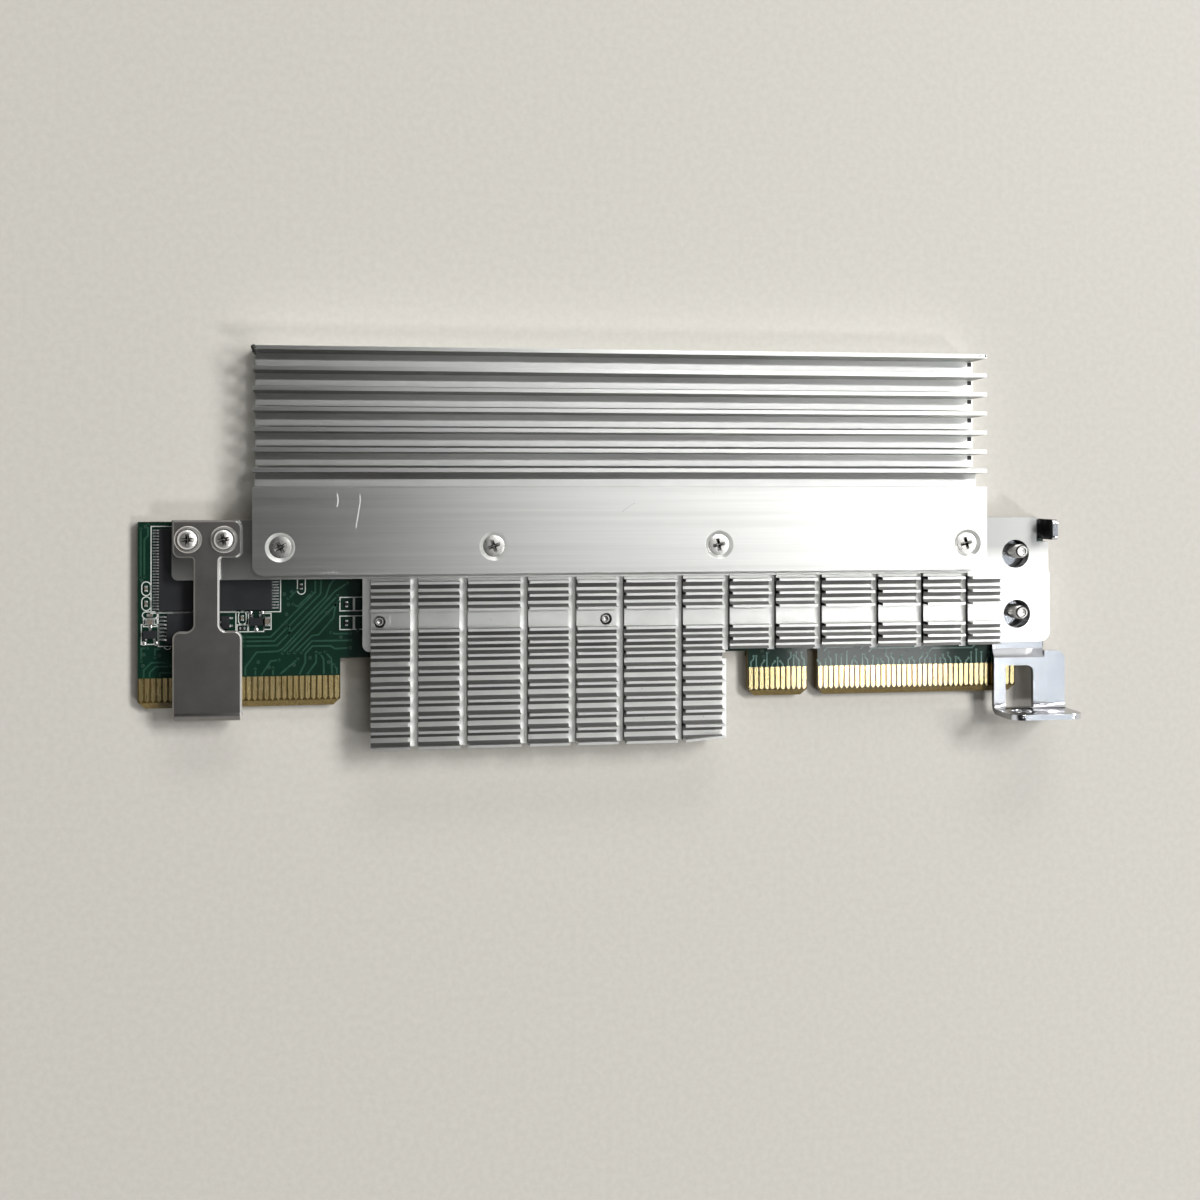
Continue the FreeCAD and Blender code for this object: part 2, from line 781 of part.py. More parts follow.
def transistor_leads():
    """A pair of leads on one long side of each transistor, and one on the other."""
    _, width, height = transistor_body
    knee_z = body_lift + height / 2
    lead = gull_wing(
        0, transistor_lead_width, width / 2, transistor_lead_reach, transistor_lead_foot, knee_z
    )
    half = transistor_lead_pitch / 2
    pair = [turned(lead, x, 0, 90) for x in (-half, half)]
    leads = Part.makeCompound(pair + [turned(lead, 0, 0, -90)])
    return Part.makeCompound([turned(leads, x, y, turn) for x, y, turn in transistors])


def chip_middle_block(size, terminal):
    """Ceramic middle of a two-ended chip part, made at the origin."""
    length, width, height = size
    half = length / 2 - terminal
    return box(-half, half, -width / 2, width / 2, 0, height)


def chip_ends(size, terminal):
    """Its two metal ends, made at the origin."""
    length, width, height = size
    end = box(length / 2 - terminal, length / 2, -width / 2, width / 2, 0, height)
    return Part.makeCompound([end, turned(end, 0, 0, 180)])


def placed(shape, places):
    """Copies of one shape, each turned and set at its place."""
    return [turned(shape, x, y, turn) for x, y, turn in places]


def chip_capacitors():
    """Bodies of the chip capacitors."""
    small = placed(chip_middle_block(small_chip, small_terminal), capacitors_small)
    large = placed(chip_middle_block(large_chip, large_terminal), capacitors_large)
    return Part.makeCompound(small + large)


def capacitor_ends():
    """Metal ends of the chip capacitors."""
    small = placed(chip_ends(small_chip, small_terminal), capacitors_small)
    large = placed(chip_ends(large_chip, large_terminal), capacitors_large)
    return Part.makeCompound(small + large)


def chip_resistors():
    """Bodies of the chip resistors."""
    return Part.makeCompound(placed(chip_middle_block(small_chip, small_terminal), resistors_small))


def resistor_ends():
    """Metal ends of the chip resistors."""
    return Part.makeCompound(placed(chip_ends(small_chip, small_terminal), resistors_small))


lower_contacts = -board_thickness - contact_thickness
nodes = {
    "circuit_board": circuit_board(),
    "main_contacts_upper": contacts(main_tongue, 0),
    "main_contacts_lower": contacts(main_tongue, lower_contacts),
    "side_contacts_upper": contacts(side_tongue, 0),
    "side_contacts_lower": contacts(side_tongue, lower_contacts),
    "controller_chip": controller_chip(),
    "thermal_pad": thermal_pad(),
    "controller_heat_sink": controller_heat_sink(),
    "extension_heat_sink": extension_heat_sink(),
    "flange_screws": flange_screws(),
    "heat_sink_screws": heat_sink_screws(),
    "paddle_bracket": paddle_bracket(),
    "paddle_washers": paddle_washers(),
    "paddle_screws": paddle_screws(),
    "end_bracket": end_bracket(),
    "end_bracket_screws": end_bracket_screws(),
    "flash_chip": flash_chip(),
    "flash_chip_leads": flash_chip_leads(),
    "logic_chip": logic_chip(),
    "logic_chip_leads": logic_chip_leads(),
    "small_transistors": small_transistors(),
    "transistor_leads": transistor_leads(),
    "chip_capacitors": chip_capacitors(),
    "capacitor_ends": capacitor_ends(),
    "chip_resistors": chip_resistors(),
    "resistor_ends": resistor_ends(),
}

# Move the origin to the middle of the card's underside and write the pieces
whole = Part.makeCompound(list(nodes.values())).BoundBox
to_origin = Vector(-(whole.XMin + whole.XMax) / 2, -(whole.YMin + whole.YMax) / 2, -whole.ZMin)
os.makedirs("parts", exist_ok=True)
for name, shape in nodes.items():
    shape.translate(to_origin)
    shape.exportStep("parts/" + name + ".step")
print("origin moved by", to_origin)
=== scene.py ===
import math
import random

import bmesh
import bpy
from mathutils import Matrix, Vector


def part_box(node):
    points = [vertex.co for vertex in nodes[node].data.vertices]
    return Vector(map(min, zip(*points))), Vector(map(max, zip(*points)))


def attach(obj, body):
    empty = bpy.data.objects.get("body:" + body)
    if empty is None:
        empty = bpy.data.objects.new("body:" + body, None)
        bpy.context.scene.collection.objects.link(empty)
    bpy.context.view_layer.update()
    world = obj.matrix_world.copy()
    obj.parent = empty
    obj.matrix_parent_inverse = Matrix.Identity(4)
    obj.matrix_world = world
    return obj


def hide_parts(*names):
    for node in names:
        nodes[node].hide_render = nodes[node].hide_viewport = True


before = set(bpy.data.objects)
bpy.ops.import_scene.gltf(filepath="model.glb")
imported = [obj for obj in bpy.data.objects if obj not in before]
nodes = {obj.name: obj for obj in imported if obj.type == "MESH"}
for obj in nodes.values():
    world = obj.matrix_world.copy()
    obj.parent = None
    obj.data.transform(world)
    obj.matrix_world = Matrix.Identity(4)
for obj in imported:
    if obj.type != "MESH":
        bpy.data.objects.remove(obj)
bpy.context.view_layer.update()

# Board frame: millimetres from the board's left end, contact edge and top face
MM = 0.001
BOARD_THICK = 1.6
board_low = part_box("circuit_board")[0]


def at(x, y, z=0.0):
    """Point in metres, from millimetres on the board."""
    return Vector((
        board_low.x + x * MM,
        board_low.y + y * MM,
        board_low.z + (z + BOARD_THICK) * MM,
    ))


# Camera, fitted to the contact rows and the edges of board and heat sink
PHOTO = 1200.0
FOCAL_PIXELS = 1536.465
CENTRE_X, CENTRE_Y = 594.06, 474.47
SENSOR = 36.0
CAMERA_PLACE = (37.0726, 38.8337, 271.5878)
CAMERA_TILT = (0.0049, -0.153, 0.0)
cam_data = bpy.data.cameras.new("camera")
cam_data.sensor_width = SENSOR
cam_data.lens = FOCAL_PIXELS / PHOTO * SENSOR
cam_data.shift_x = (PHOTO / 2 - CENTRE_X) / PHOTO
cam_data.shift_y = (CENTRE_Y - PHOTO / 2) / PHOTO
cam_data.clip_start = 0.01
camera = bpy.data.objects.new("camera", cam_data)
camera.location = at(*CAMERA_PLACE)
camera.rotation_euler = CAMERA_TILT
scene = bpy.context.scene
scene.collection.objects.link(camera)
scene.camera = camera
scene.view_settings.view_transform = "Standard"


# Node materials
class Nodes:
    """A material with a principled shader, and short calls for the nodes that feed it."""

    def __init__(self, name, **settings):
        self.material = bpy.data.materials.new(name)
        self.material.use_nodes = True
        self.tree = self.material.node_tree
        self.shader = self.tree.nodes["Principled BSDF"]
        for socket, value in settings.items():
            self.shader.inputs[socket.replace("_", " ")].default_value = value
        self.coords = self.add("ShaderNodeTexCoord").outputs["Object"]

    def add(self, kind, **settings):
        node = self.tree.nodes.new(kind)
        for key, value in settings.items():
            setattr(node, key, value)
        return node

    def join(self, out, socket):
        self.tree.links.new(out, socket)

    def axes(self, vector):
        node = self.add("ShaderNodeSeparateXYZ")
        self.join(vector, node.inputs[0])
        return node.outputs

    def scaled(self, scale):
        node = self.add("ShaderNodeMapping")
        node.inputs["Scale"].default_value = scale
        self.join(self.coords, node.inputs["Vector"])
        return node.outputs["Vector"]

    def noise(self, scale, detail=3.0, rough=0.5):
        node = self.add("ShaderNodeTexNoise")
        node.inputs["Scale"].default_value = 1.0
        node.inputs["Detail"].default_value = detail
        node.inputs["Roughness"].default_value = rough
        self.join(self.scaled(scale), node.inputs["Vector"])
        return node.outputs["Fac"]

    def ramp(self, fac, stops):
        node = self.add("ShaderNodeValToRGB")
        ramp = node.color_ramp
        while len(ramp.elements) < len(stops):
            ramp.elements.new(0.5)
        for element, (place, colour) in zip(ramp.elements, stops):
            element.position = place
            element.color = (*colour, 1.0)
        self.join(fac, node.inputs["Fac"])
        return node.outputs["Color"]

    def span(self, fac, low, high, from_low=0.3, from_high=0.7):
        node = self.add("ShaderNodeMapRange")
        node.inputs["From Min"].default_value = from_low
        node.inputs["From Max"].default_value = from_high
        node.inputs["To Min"].default_value = low
        node.inputs["To Max"].default_value = high
        self.join(fac, node.inputs["Value"])
        return node.outputs["Result"]

    def mix(self, fac, first, second):
        """Blend of two colours, by the node's sockets for its factor and its colours."""
        node = self.add("ShaderNodeMix", data_type="RGBA")
        for value, index in ((fac, 0), (first, 6), (second, 7)):
            socket = node.inputs[index]
            if isinstance(value, bpy.types.NodeSocket):
                self.join(value, socket)
            elif isinstance(value, (int, float)):
                socket.default_value = value
            else:
                socket.default_value = (*value, 1.0)
        return node.outputs[2]

    def math(self, operation, first, second):
        node = self.add("ShaderNodeMath", operation=operation)
        for value, socket in ((first, node.inputs[0]), (second, node.inputs[1])):
            if isinstance(value, (int, float)):
                socket.default_value = value
            else:
                self.join(value, socket)
        return node.outputs[0]

    def colour(self, out):
        self.join(out, self.shader.inputs["Base Color"])

    def rough(self, out):
        self.join(out, self.shader.inputs["Roughness"])

    def bump(self, out, depth):
        node = self.add("ShaderNodeBump")
        node.inputs["Strength"].default_value = 1.0
        node.inputs["Distance"].default_value = depth
        self.join(out, node.inputs["Height"])
        self.join(node.outputs["Normal"], self.shader.inputs["Normal"])


LAND_START, LAND_FULL = 21.5, 27.0
FACING = 0.5
TURNED = 0.2


def metal(
    name, light, dark, rough, grain, blotch=(260, 260, 260), depth=4e-6, brushed=0.0,
    flank=None, steep=0.8, facing=None, across_y=0, inside=None, land_shade=None,
):
    """Metal with a directional grain, whose scale along each axis is in one over metres.

    Metal brushed along X spreads its reflections across the brush lines. flank is a painted tone for
    steep faces, or for faces that look along Y one way, 1 or -1, or only for those towards facing,
    between the two inside places along Y: painted shade where dark, a painted highlight where light.
    land is a darker tone painted on the back of the piece, as shade."""
    m = Nodes(name, Metallic=1.0, Anisotropic=brushed)
    if brushed:
        across = m.add("ShaderNodeVectorMath", operation="CROSS_PRODUCT")
        m.join(m.add("ShaderNodeNewGeometry").outputs["Normal"], across.inputs[0])
        across.inputs[1].default_value = (1.0, 0.0, 0.0)
        m.join(across.outputs["Vector"], m.shader.inputs["Tangent"])
    fine = m.noise(grain, 4.0, 0.6)
    broad = m.noise(blotch, 3.0, 0.55)
    tone = m.ramp(broad, [(0.3, dark), (0.7, light)])
    tone = m.mix(m.span(fine, 0.0, 0.35), tone, dark)
    # Tone painted by the way a face looks: shade where it is dark, a highlight where it is light
    if flank is not None:
        normal = m.add("ShaderNodeNewGeometry").outputs["True Normal"]
        split = m.axes(normal)
        if across_y:
            painted_tone_mask = m.math("GREATER_THAN", m.math("MULTIPLY", split["Y"], across_y), FACING)
        else:
            painted_tone_mask = m.math("LESS_THAN", m.math("ABSOLUTE", split["Z"], 0.0), steep)
        if facing is not None:
            towards = m.add("ShaderNodeVectorMath", operation="DOT_PRODUCT")
            m.join(normal, towards.inputs[0])
            towards.inputs[1].default_value = facing
            turned_to = m.math("GREATER_THAN", towards.outputs["Value"], TURNED)
            painted_tone_mask = m.math("MULTIPLY", painted_tone_mask, turned_to)
        if inside is not None:
            along_y = m.axes(m.coords)["Y"]
            front, back = (at(0, y).y for y in inside)
            behind = m.math("GREATER_THAN", along_y, front)
            before = m.math("LESS_THAN", along_y, back)
            painted_tone_mask = m.math("MULTIPLY", painted_tone_mask, m.math("MULTIPLY", behind, before))
        tone = m.mix(painted_tone_mask, tone, flank)
    # Darker tone painted on the back of the piece, as shade
    if land_shade is not None:
        along_y = m.axes(m.coords)["Y"]
        land_shade_mask = m.span(along_y, 0.0, 1.0, at(0, LAND_START).y, at(0, LAND_FULL).y)
        tone = m.mix(land_shade_mask, tone, land_shade)
    m.colour(tone)
    m.rough(m.span(fine, *rough))
    m.bump(fine, depth)
    return m.material


def moulded(name, light, dark, rough, scale=9000):
    """Moulded plastic or ceramic with a fine grain."""
    m = Nodes(name, Specular_IOR_Level=0.3)
    fine = m.noise((scale, scale, scale), 3.0, 0.6)
    broad = m.noise((400, 400, 400), 2.0, 0.5)
    tone = m.ramp(broad, [(0.3, dark), (0.7, light)])
    m.colour(m.mix(m.span(fine, 0.0, 0.5), tone, dark))
    m.rough(m.span(fine, *rough))
    m.bump(fine, 1.2e-5)
    return m.material


# Painted shade: fin faces that look along +Y are dark, and the back of the plate is painted darker
sink_metal = metal(
    "sink_milled", (0.93, 0.935, 0.905), (0.84, 0.845, 0.815), (0.28, 0.34), (500, 5200, 5200),
    brushed=0.65, flank=(0.2, 0.202, 0.19), across_y=1, inside=(-6.8, 23.0), land_shade=(0.36, 0.362, 0.35),
)
# Painted shade: fin faces that look along -Y are dark
extension_metal = metal(
    "extension_brushed", (0.84, 0.845, 0.82), (0.72, 0.725, 0.7), (0.28, 0.34), (40, 2600, 2600),
    blotch=(14, 1100, 1100), depth=2e-6, brushed=0.65,
    flank=(0.17, 0.172, 0.16), across_y=-1, inside=(37.5, 61.66),
)
# Painted shade: steep faces, such as recess walls and head sides, are dark
screw_metal = metal(
    "screw_plated", (0.74, 0.73, 0.7), (0.66, 0.65, 0.62), (0.26, 0.32), (2500, 2500, 2500),
    depth=1e-6, flank=(0.08, 0.08, 0.075), steep=0.65,
)
# Painted shade: steep faces, such as the walls of the cross recess, are dark
chrome_metal = metal(
    "screw_bright", (0.88, 0.86, 0.82), (0.78, 0.76, 0.72), (0.3, 0.38), (1800, 1800, 1800),
    depth=1e-6, flank=(0.06, 0.06, 0.055), steep=0.5,
)
# Painted highlight: steep faces towards +X, such as the edge rounds on the right, are light
paddle_metal = metal(
    "paddle_satin", (0.28, 0.27, 0.255), (0.23, 0.22, 0.21), (0.32, 0.38), (9000, 9000, 9000),
    flank=(0.9, 0.89, 0.87), steep=0.95, facing=(1, 0, 0),
)
# Painted shade: steep faces are darker
bracket_metal = metal(
    "bracket_polished", (0.84, 0.845, 0.87), (0.72, 0.73, 0.77), (0.12, 0.2), (700, 1500, 1500),
    flank=(0.3, 0.3, 0.3), steep=0.5,
)
tin_metal = metal(
    "lead_tinned", (0.78, 0.78, 0.77), (0.64, 0.64, 0.63), (0.24, 0.38), (2600, 2600, 2600)
)
gold_metal = metal(
    "contact_plated", (0.96, 0.78, 0.4), (0.86, 0.67, 0.3), (0.24, 0.34), (9000, 260, 9000)
)
main_gold = metal(
    "contact_polished", (0.98, 0.82, 0.46), (0.9, 0.73, 0.36), (0.15, 0.22), (9000, 260, 9000),
    depth=8e-7,
)
chip_black = moulded("chip_moulded", (0.016, 0.017, 0.02), (0.01, 0.011, 0.013), (0.5, 0.62))
resistor_black = moulded(
    "resistor_glazed", (0.02, 0.02, 0.022), (0.012, 0.012, 0.014), (0.3, 0.42)
)
ceramic = moulded("capacitor_fired", (0.21, 0.18, 0.14), (0.15, 0.13, 0.1), (0.4, 0.5), 5000)
pad_grey = moulded("pad_soft", (0.37, 0.38, 0.4), (0.3, 0.31, 0.33), (0.7, 0.85), 3000)

MASK_EDGE, CONTACT_TIPS = 5.2, 1.0


def laminate():
    """Green solder mask, with bare brown laminate on the edges and between the contacts."""
    m = Nodes("board_mask", Coat_Weight=0.3, Coat_Roughness=0.06, Specular_IOR_Level=0.2)
    broad = m.noise((220, 220, 220), 3.0, 0.5)
    weave = m.noise((2600, 2600, 2600), 2.0, 0.5)
    green = m.ramp(broad, [(0.3, (0.0016, 0.0185, 0.0105)), (0.7, (0.0026, 0.025, 0.0145))])
    bare = m.ramp(weave, [(0.35, (0.15, 0.105, 0.035)), (0.65, (0.24, 0.175, 0.065))])
    gap = m.ramp(weave, [(0.35, (0.055, 0.036, 0.008)), (0.65, (0.08, 0.054, 0.013))])
    along_y = m.axes(m.coords)["Y"]
    below_mask = m.math("LESS_THAN", along_y, at(0, MASK_EDGE).y)
    below_tips = m.math("LESS_THAN", along_y, at(0, CONTACT_TIPS).y)
    upright = m.axes(m.add("ShaderNodeNewGeometry").outputs["True Normal"])["Z"]
    side = m.math("LESS_THAN", m.math("ABSOLUTE", upright, 0.0), FACING)
    tone = m.mix(below_mask, green, gap)
    m.colour(m.mix(m.math("MAXIMUM", below_tips, side), tone, bare))
    m.rough(m.span(weave, 0.3, 0.4))
    m.bump(broad, 6e-5)
    return m.material


board_mask = laminate()
node_metals = {
    "circuit_board": board_mask,
    "controller_heat_sink": sink_metal,
    "extension_heat_sink": extension_metal,
    "paddle_bracket": paddle_metal,
    "end_bracket": bracket_metal,
    "thermal_pad": pad_grey,
    "capacitor_ends": tin_metal,
    "resistor_ends": tin_metal,
    "chip_capacitors": ceramic,
    "chip_resistors": resistor_black,
}
for side in ("upper", "lower"):
    node_metals["main_contacts_" + side] = main_gold
    node_metals["side_contacts_" + side] = gold_metal
for name in ("controller_chip", "flash_chip", "logic_chip", "small_transistors"):
    node_metals[name] = chip_black
for name in ("flash_chip_leads", "logic_chip_leads", "transistor_leads"):
    node_metals[name] = tin_metal
for name in ("flange_screws", "heat_sink_screws", "end_bracket_screws"):
    node_metals[name] = screw_metal
for name in ("paddle_washers", "paddle_screws"):
    node_metals[name] = chrome_metal
for name, material in node_metals.items():
    nodes[name].data.materials.clear()
    nodes[name].data.materials.append(material)

# Edges of the solids catch light on a small round, in millimetres
BEVELS = {
    "controller_heat_sink": 0.1,
    "extension_heat_sink": 0.16,
    "paddle_bracket": 0.16,
    "end_bracket": 0.1,
    "circuit_board": 0.05,
    "flash_chip": 0.06,
    "logic_chip": 0.06,
    "small_transistors": 0.05,
    "chip_capacitors": 0.05,
    "capacitor_ends": 0.05,
    "chip_resistors": 0.04,
    "resistor_ends": 0.05,
}
WELD_DISTANCE = 1e-6
SHARP_EDGE = 35
for name, width in BEVELS.items():
    weld = nodes[name].modifiers.new("weld", "WELD")
    weld.merge_threshold = WELD_DISTANCE
    bevel = nodes[name].modifiers.new("edge", "BEVEL")
    bevel.width = width * MM
    bevel.segments = 1 if name == "controller_heat_sink" else 2
    bevel.limit_method = "ANGLE"
    bevel.angle_limit = math.radians(SHARP_EDGE)
    bevel.harden_normals = False
    bevel.use_clamp_overlap = True


# Mesh helpers, in board millimetres
def walls(bm, rings):
    """Side walls from each ring of points to the next."""
    for a, b in zip(rings, rings[1:]):
        for i in range(len(a)):
            j = (i + 1) % len(a)
            bm.faces.new((a[i], a[j], b[j], b[i]))


def skin(bm, rings):
    """Side walls with both ends capped."""
    walls(bm, rings)
    bm.faces.new(rings[0][::-1])
    bm.faces.new(rings[-1])


def prism(bm, outline, low, high, inset=0.0):
    """Solid on an outline, whose top may be drawn in towards the outline's middle."""
    cx = sum(p[0] for p in outline) / len(outline)
    cy = sum(p[1] for p in outline) / len(outline)
    foot = [bm.verts.new(at(x, y, low)) for x, y in outline]
    crown = []
    for x, y in outline:
        away = math.hypot(x - cx, y - cy) or 1.0
        part = 1.0 - inset / away
        crown.append(bm.verts.new(at(cx + (x - cx) * part, cy + (y - cy) * part, high)))
    bm.faces.new(crown)
    bm.faces.new(foot[::-1])
    for i in range(len(outline)):
        j = (i + 1) % len(outline)
        bm.faces.new((foot[i], foot[j], crown[j], crown[i]))


def box(bm, x0, x1, y0, y1, z0, z1):
    prism(bm, [(x0, y0), (x1, y0), (x1, y1), (x0, y1)], z0, z1)


def ribbon(bm, points, width, low, high, closed=False):
    """Flat strip with mitred corners along a polyline."""
    count = len(points)
    left, right = [], []
    for i, (x, y) in enumerate(points):
        before = points[i - 1] if closed or i > 0 else None
        after = points[(i + 1) % count] if closed or i < count - 1 else None
        arms = []
        if before is not None:
            arms.append(Vector((x - before[0], y - before[1])).normalized())
        if after is not None:
            arms.append(Vector((after[0] - x, after[1] - y)).normalized())
        way = sum(arms, Vector((0.0, 0.0)))
        way = way.normalized() if way.length > 1e-6 else arms[0]
        across = Vector((-way.y, way.x))
        stretch = max(0.5, abs(across.dot(Vector((-arms[0].y, arms[0].x)))))
        reach = width / 2 / stretch
        left.append((x + across.x * reach, y + across.y * reach))
        right.append((x - across.x * reach, y - across.y * reach))
    rows = []
    for (lx, ly), (rx, ry) in zip(left, right):
        corners = ((lx, ly, low), (rx, ry, low), (rx, ry, high), (lx, ly, high))
        rows.append([bm.verts.new(at(*c)) for c in corners])
    if closed:
        walls(bm, rows + rows[:1])
    else:
        skin(bm, rows)


def lathe(bm, x, y, profile, segments=40):
    """Solid of revolution about a vertical line, closed flat at both ends of its profile."""
    rings = []
    for r, z in profile:
        ring = []
        for i in range(segments):
            a = 2 * math.pi * i / segments
            ring.append(bm.verts.new(at(x + r * math.cos(a), y + r * math.sin(a), z)))
        rings.append(ring)
    skin(bm, rings)


SAME_PLACE = 1e-4


def round_slot(x, y, wide, high, steps=6):
    """Outline of a capsule or, where it is square, a circle."""
    r = min(wide, high) / 2
    dx, dy = wide / 2 - r, high / 2 - r
    points = []
    for quarter, (sx, sy) in enumerate(((1, 1), (-1, 1), (-1, -1), (1, -1))):
        for i in range(steps + 1):
            a = math.pi / 2 * (quarter + i / steps)
            points.append((x + sx * dx + r * math.cos(a), y + sy * dy + r * math.sin(a)))
    return [p for i, p in enumerate(points) if math.dist(p, points[i - 1]) > SAME_PLACE]


def piece(name, bm, material, smooth=None, stands_for=()):
    """Makes a mesh into a piece of the card. smooth is the angle up to which edges look round."""
    bmesh.ops.recalc_face_normals(bm, faces=bm.faces)
    mesh = bpy.data.meshes.new(name)
    bm.to_mesh(mesh)
    bm.free()
    mesh.materials.append(material)
    if smooth is not None:
        mesh.shade_smooth()
        mesh.set_sharp_from_angle(angle=math.radians(smooth))
    obj = bpy.data.objects.new(name, mesh)
    scene.collection.objects.link(obj)
    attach(obj, "root")
    if stands_for:
        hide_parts(*stands_for)
    return obj


CUT_SHARP = 30


def carved(obj, cutter_bm):
    """Cuts a tool's shape out of a piece and keeps the result as its mesh."""
    bmesh.ops.recalc_face_normals(cutter_bm, faces=cutter_bm.faces)
    mesh = bpy.data.meshes.new("tool")
    cutter_bm.to_mesh(mesh)
    cutter_bm.free()
    tool = bpy.data.objects.new("tool", mesh)
    scene.collection.objects.link(tool)
    cut = obj.modifiers.new("cut", "BOOLEAN")
    cut.object = tool
    cut.operation = "DIFFERENCE"
    cut.solver = "EXACT"
    bpy.context.view_layer.update()
    graph = bpy.context.evaluated_depsgraph_get()
    result = bpy.data.meshes.new_from_object(obj.evaluated_get(graph))
    obj.modifiers.clear()
    result.shade_smooth()
    result.set_sharp_from_angle(angle=math.radians(CUT_SHARP))
    old = obj.data
    obj.data = result
    bpy.data.meshes.remove(old)
    bpy.data.objects.remove(tool)
    bpy.data.meshes.remove(mesh)


def turned(bm, x, y, turn, long, wide, z):
    """Corners of a level rectangle that is turned about its middle."""
    c, s = math.cos(math.radians(turn)), math.sin(math.radians(turn))
    a, b = long / 2, wide / 2
    corners = ((-a, -b), (a, -b), (a, b), (-a, b))
    return [bm.verts.new(at(x + px * c - py * s, y + px * s + py * c, z)) for px, py in corners]


CROSS = (0.0, 90.0)
TOOL_OVER = 0.3
TOE_LONG, TOE_WIDE = 0.3, 0.12


def cross_tools(places, long, wide, top, depth):
    """Two tapered tools that together cut a cross recess at each place (x, y, turn)."""
    levels = (
        (long * TOE_LONG, wide * TOE_WIDE, top - depth),
        (long, wide, top),
        (long, wide, top + TOOL_OVER),
    )
    tools = []
    for extra in CROSS:
        bm = bmesh.new()
        for x, y, turn in places:
            skin(bm, [turned(bm, x, y, turn + extra, *level) for level in levels])
        tools.append(bm)
    return tools


THREAD_ROOT, THREAD_CREST, THREAD_SUNK = 0.42, 0.08, 0.03
THREAD_END = 0.8


def thread(bm, x, y, low, high, radius, pitch, depth, segments=20):
    """Raised helical ridge on a shank, from one level to another, running out at its upper end."""
    steps = int((high - low) / pitch * segments)
    foot = radius - depth - THREAD_SUNK
    rows = []
    for k in range(steps + 1):
        a = 2 * math.pi * k / segments
        z = low + pitch * k / segments
        run_out = min(1.0, (steps - k) / (THREAD_END * segments))
        crest = radius - depth * (1.0 - run_out)
        c, s = math.cos(a), math.sin(a)
        ridge = (
            (foot, -THREAD_ROOT), (crest, -THREAD_CREST), (crest, THREAD_CREST), (foot, THREAD_ROOT)
        )
        rows.append([bm.verts.new(at(x + r * c, y + r * s, z + dz * pitch)) for r, dz in ridge])
    for a, b in zip(rows, rows[1:]):
        for i in range(3):
            bm.faces.new((a[i], a[i + 1], b[i + 1], b[i]))


# Screws: place and turn of the recess, then the profile as radius and level
FLANGE_SCREWS = (
    (24.2, 27.75, 28.0), (60.5, 27.75, 20.0), (100.4, 27.75, 12.0), (146.5, 27.75, 15.0)
)
PADDLE_SCREWS = ((8.85, 29.1, 0.0), (14.8, 29.1, 12.0))
SINK_SCREWS = ((40.9, 14.7, 30.0), (80.45, 14.7, 70.0))
STUDS = ((157.85, 14.85, 20.0), (157.85, 26.1, 55.0))
FLAT_HEAD = (
    (1.0, 1.5), (1.0, 5.0), (1.72, 5.66), (1.86, 5.78), (1.9, 5.84), (1.87, 5.9), (1.6, 5.94),
    (0.8, 5.98), (0.05, 5.99),
)
PAN_HEAD = (
    (1.0, 1.5), (1.0, 4.9), (1.72, 4.9), (1.8, 4.98), (1.8, 5.35), (1.76, 5.55), (1.66, 5.74),
    (1.48, 5.89), (1.2, 6.0), (0.8, 6.07), (0.4, 6.095), (0.05, 6.1),
)
HEAD_SEGMENTS = 56
ROUND = 40

bm = bmesh.new()
for x, y, _ in FLANGE_SCREWS:
    lathe(bm, x, y, FLAT_HEAD, HEAD_SEGMENTS)
flange_screws = piece("flange_screw_set", bm, screw_metal, ROUND, ["flange_screws"])
for tool in cross_tools(FLANGE_SCREWS, long=2.25, wide=0.58, top=5.99, depth=0.85):
    carved(flange_screws, tool)

bm = bmesh.new()
for x, y, _ in PADDLE_SCREWS:
    lathe(bm, x, y, PAN_HEAD, HEAD_SEGMENTS)
paddle_screws = piece("paddle_screw_set", bm, chrome_metal, ROUND, ["paddle_screws"])
for tool in cross_tools(PADDLE_SCREWS, long=2.3, wide=0.62, top=6.1, depth=1.0):
    carved(paddle_screws, tool)

THREAD_DEPTH = 0.16
THREAD_START, THREAD_STOP = -1.2, 0.12
HEAD_ROUND = 0.12
TIP_IN, TIP_LOW = 0.14, 0.25
HOLLOW_RIM, HOLLOW_IN, HOLLOW_LOW, HOLLOW_DEEP = 0.36, 0.48, 0.16, 0.24
AXIS = 0.05
LOW_RECESS = ((1.15, 0.6, -2.4), (0.8, 0.4, -1.75))
BELOW_HEAD = -2.1
BOARD_UNDER = -1.6


def low_screws(name, places, radius, head_radius, tip, pitch, node):
    """Screws put up from below, with a low head under the board and a threaded, hollow tip."""
    bm = bmesh.new()
    core = radius - THREAD_DEPTH
    profile = (
        (head_radius - HEAD_ROUND, BELOW_HEAD), (head_radius, BELOW_HEAD + HEAD_ROUND),
        (head_radius, BOARD_UNDER), (core, BOARD_UNDER), (core, tip - TIP_LOW), (core - TIP_IN, tip),
        (core - HOLLOW_RIM, tip), (core - HOLLOW_IN, tip - HOLLOW_LOW), (AXIS, tip - HOLLOW_DEEP),
    )
    for x, y, _ in places:
        lathe(bm, x, y, profile)
    screws = piece(name, bm, screw_metal, ROUND, [node])
    recess = [(head_radius * share, wide, z) for share, wide, z in LOW_RECESS]
    for extra in CROSS:
        bm = bmesh.new()
        for x, y, turn in places:
            skin(bm, [turned(bm, x, y, turn + extra, *level) for level in recess])
        carved(screws, bm)
    bm = bmesh.new()
    for x, y, _ in places:
        thread(bm, x, y, THREAD_START, tip - THREAD_STOP, radius, pitch, THREAD_DEPTH)
    piece(name + "_threads", bm, screw_metal, smooth=50)


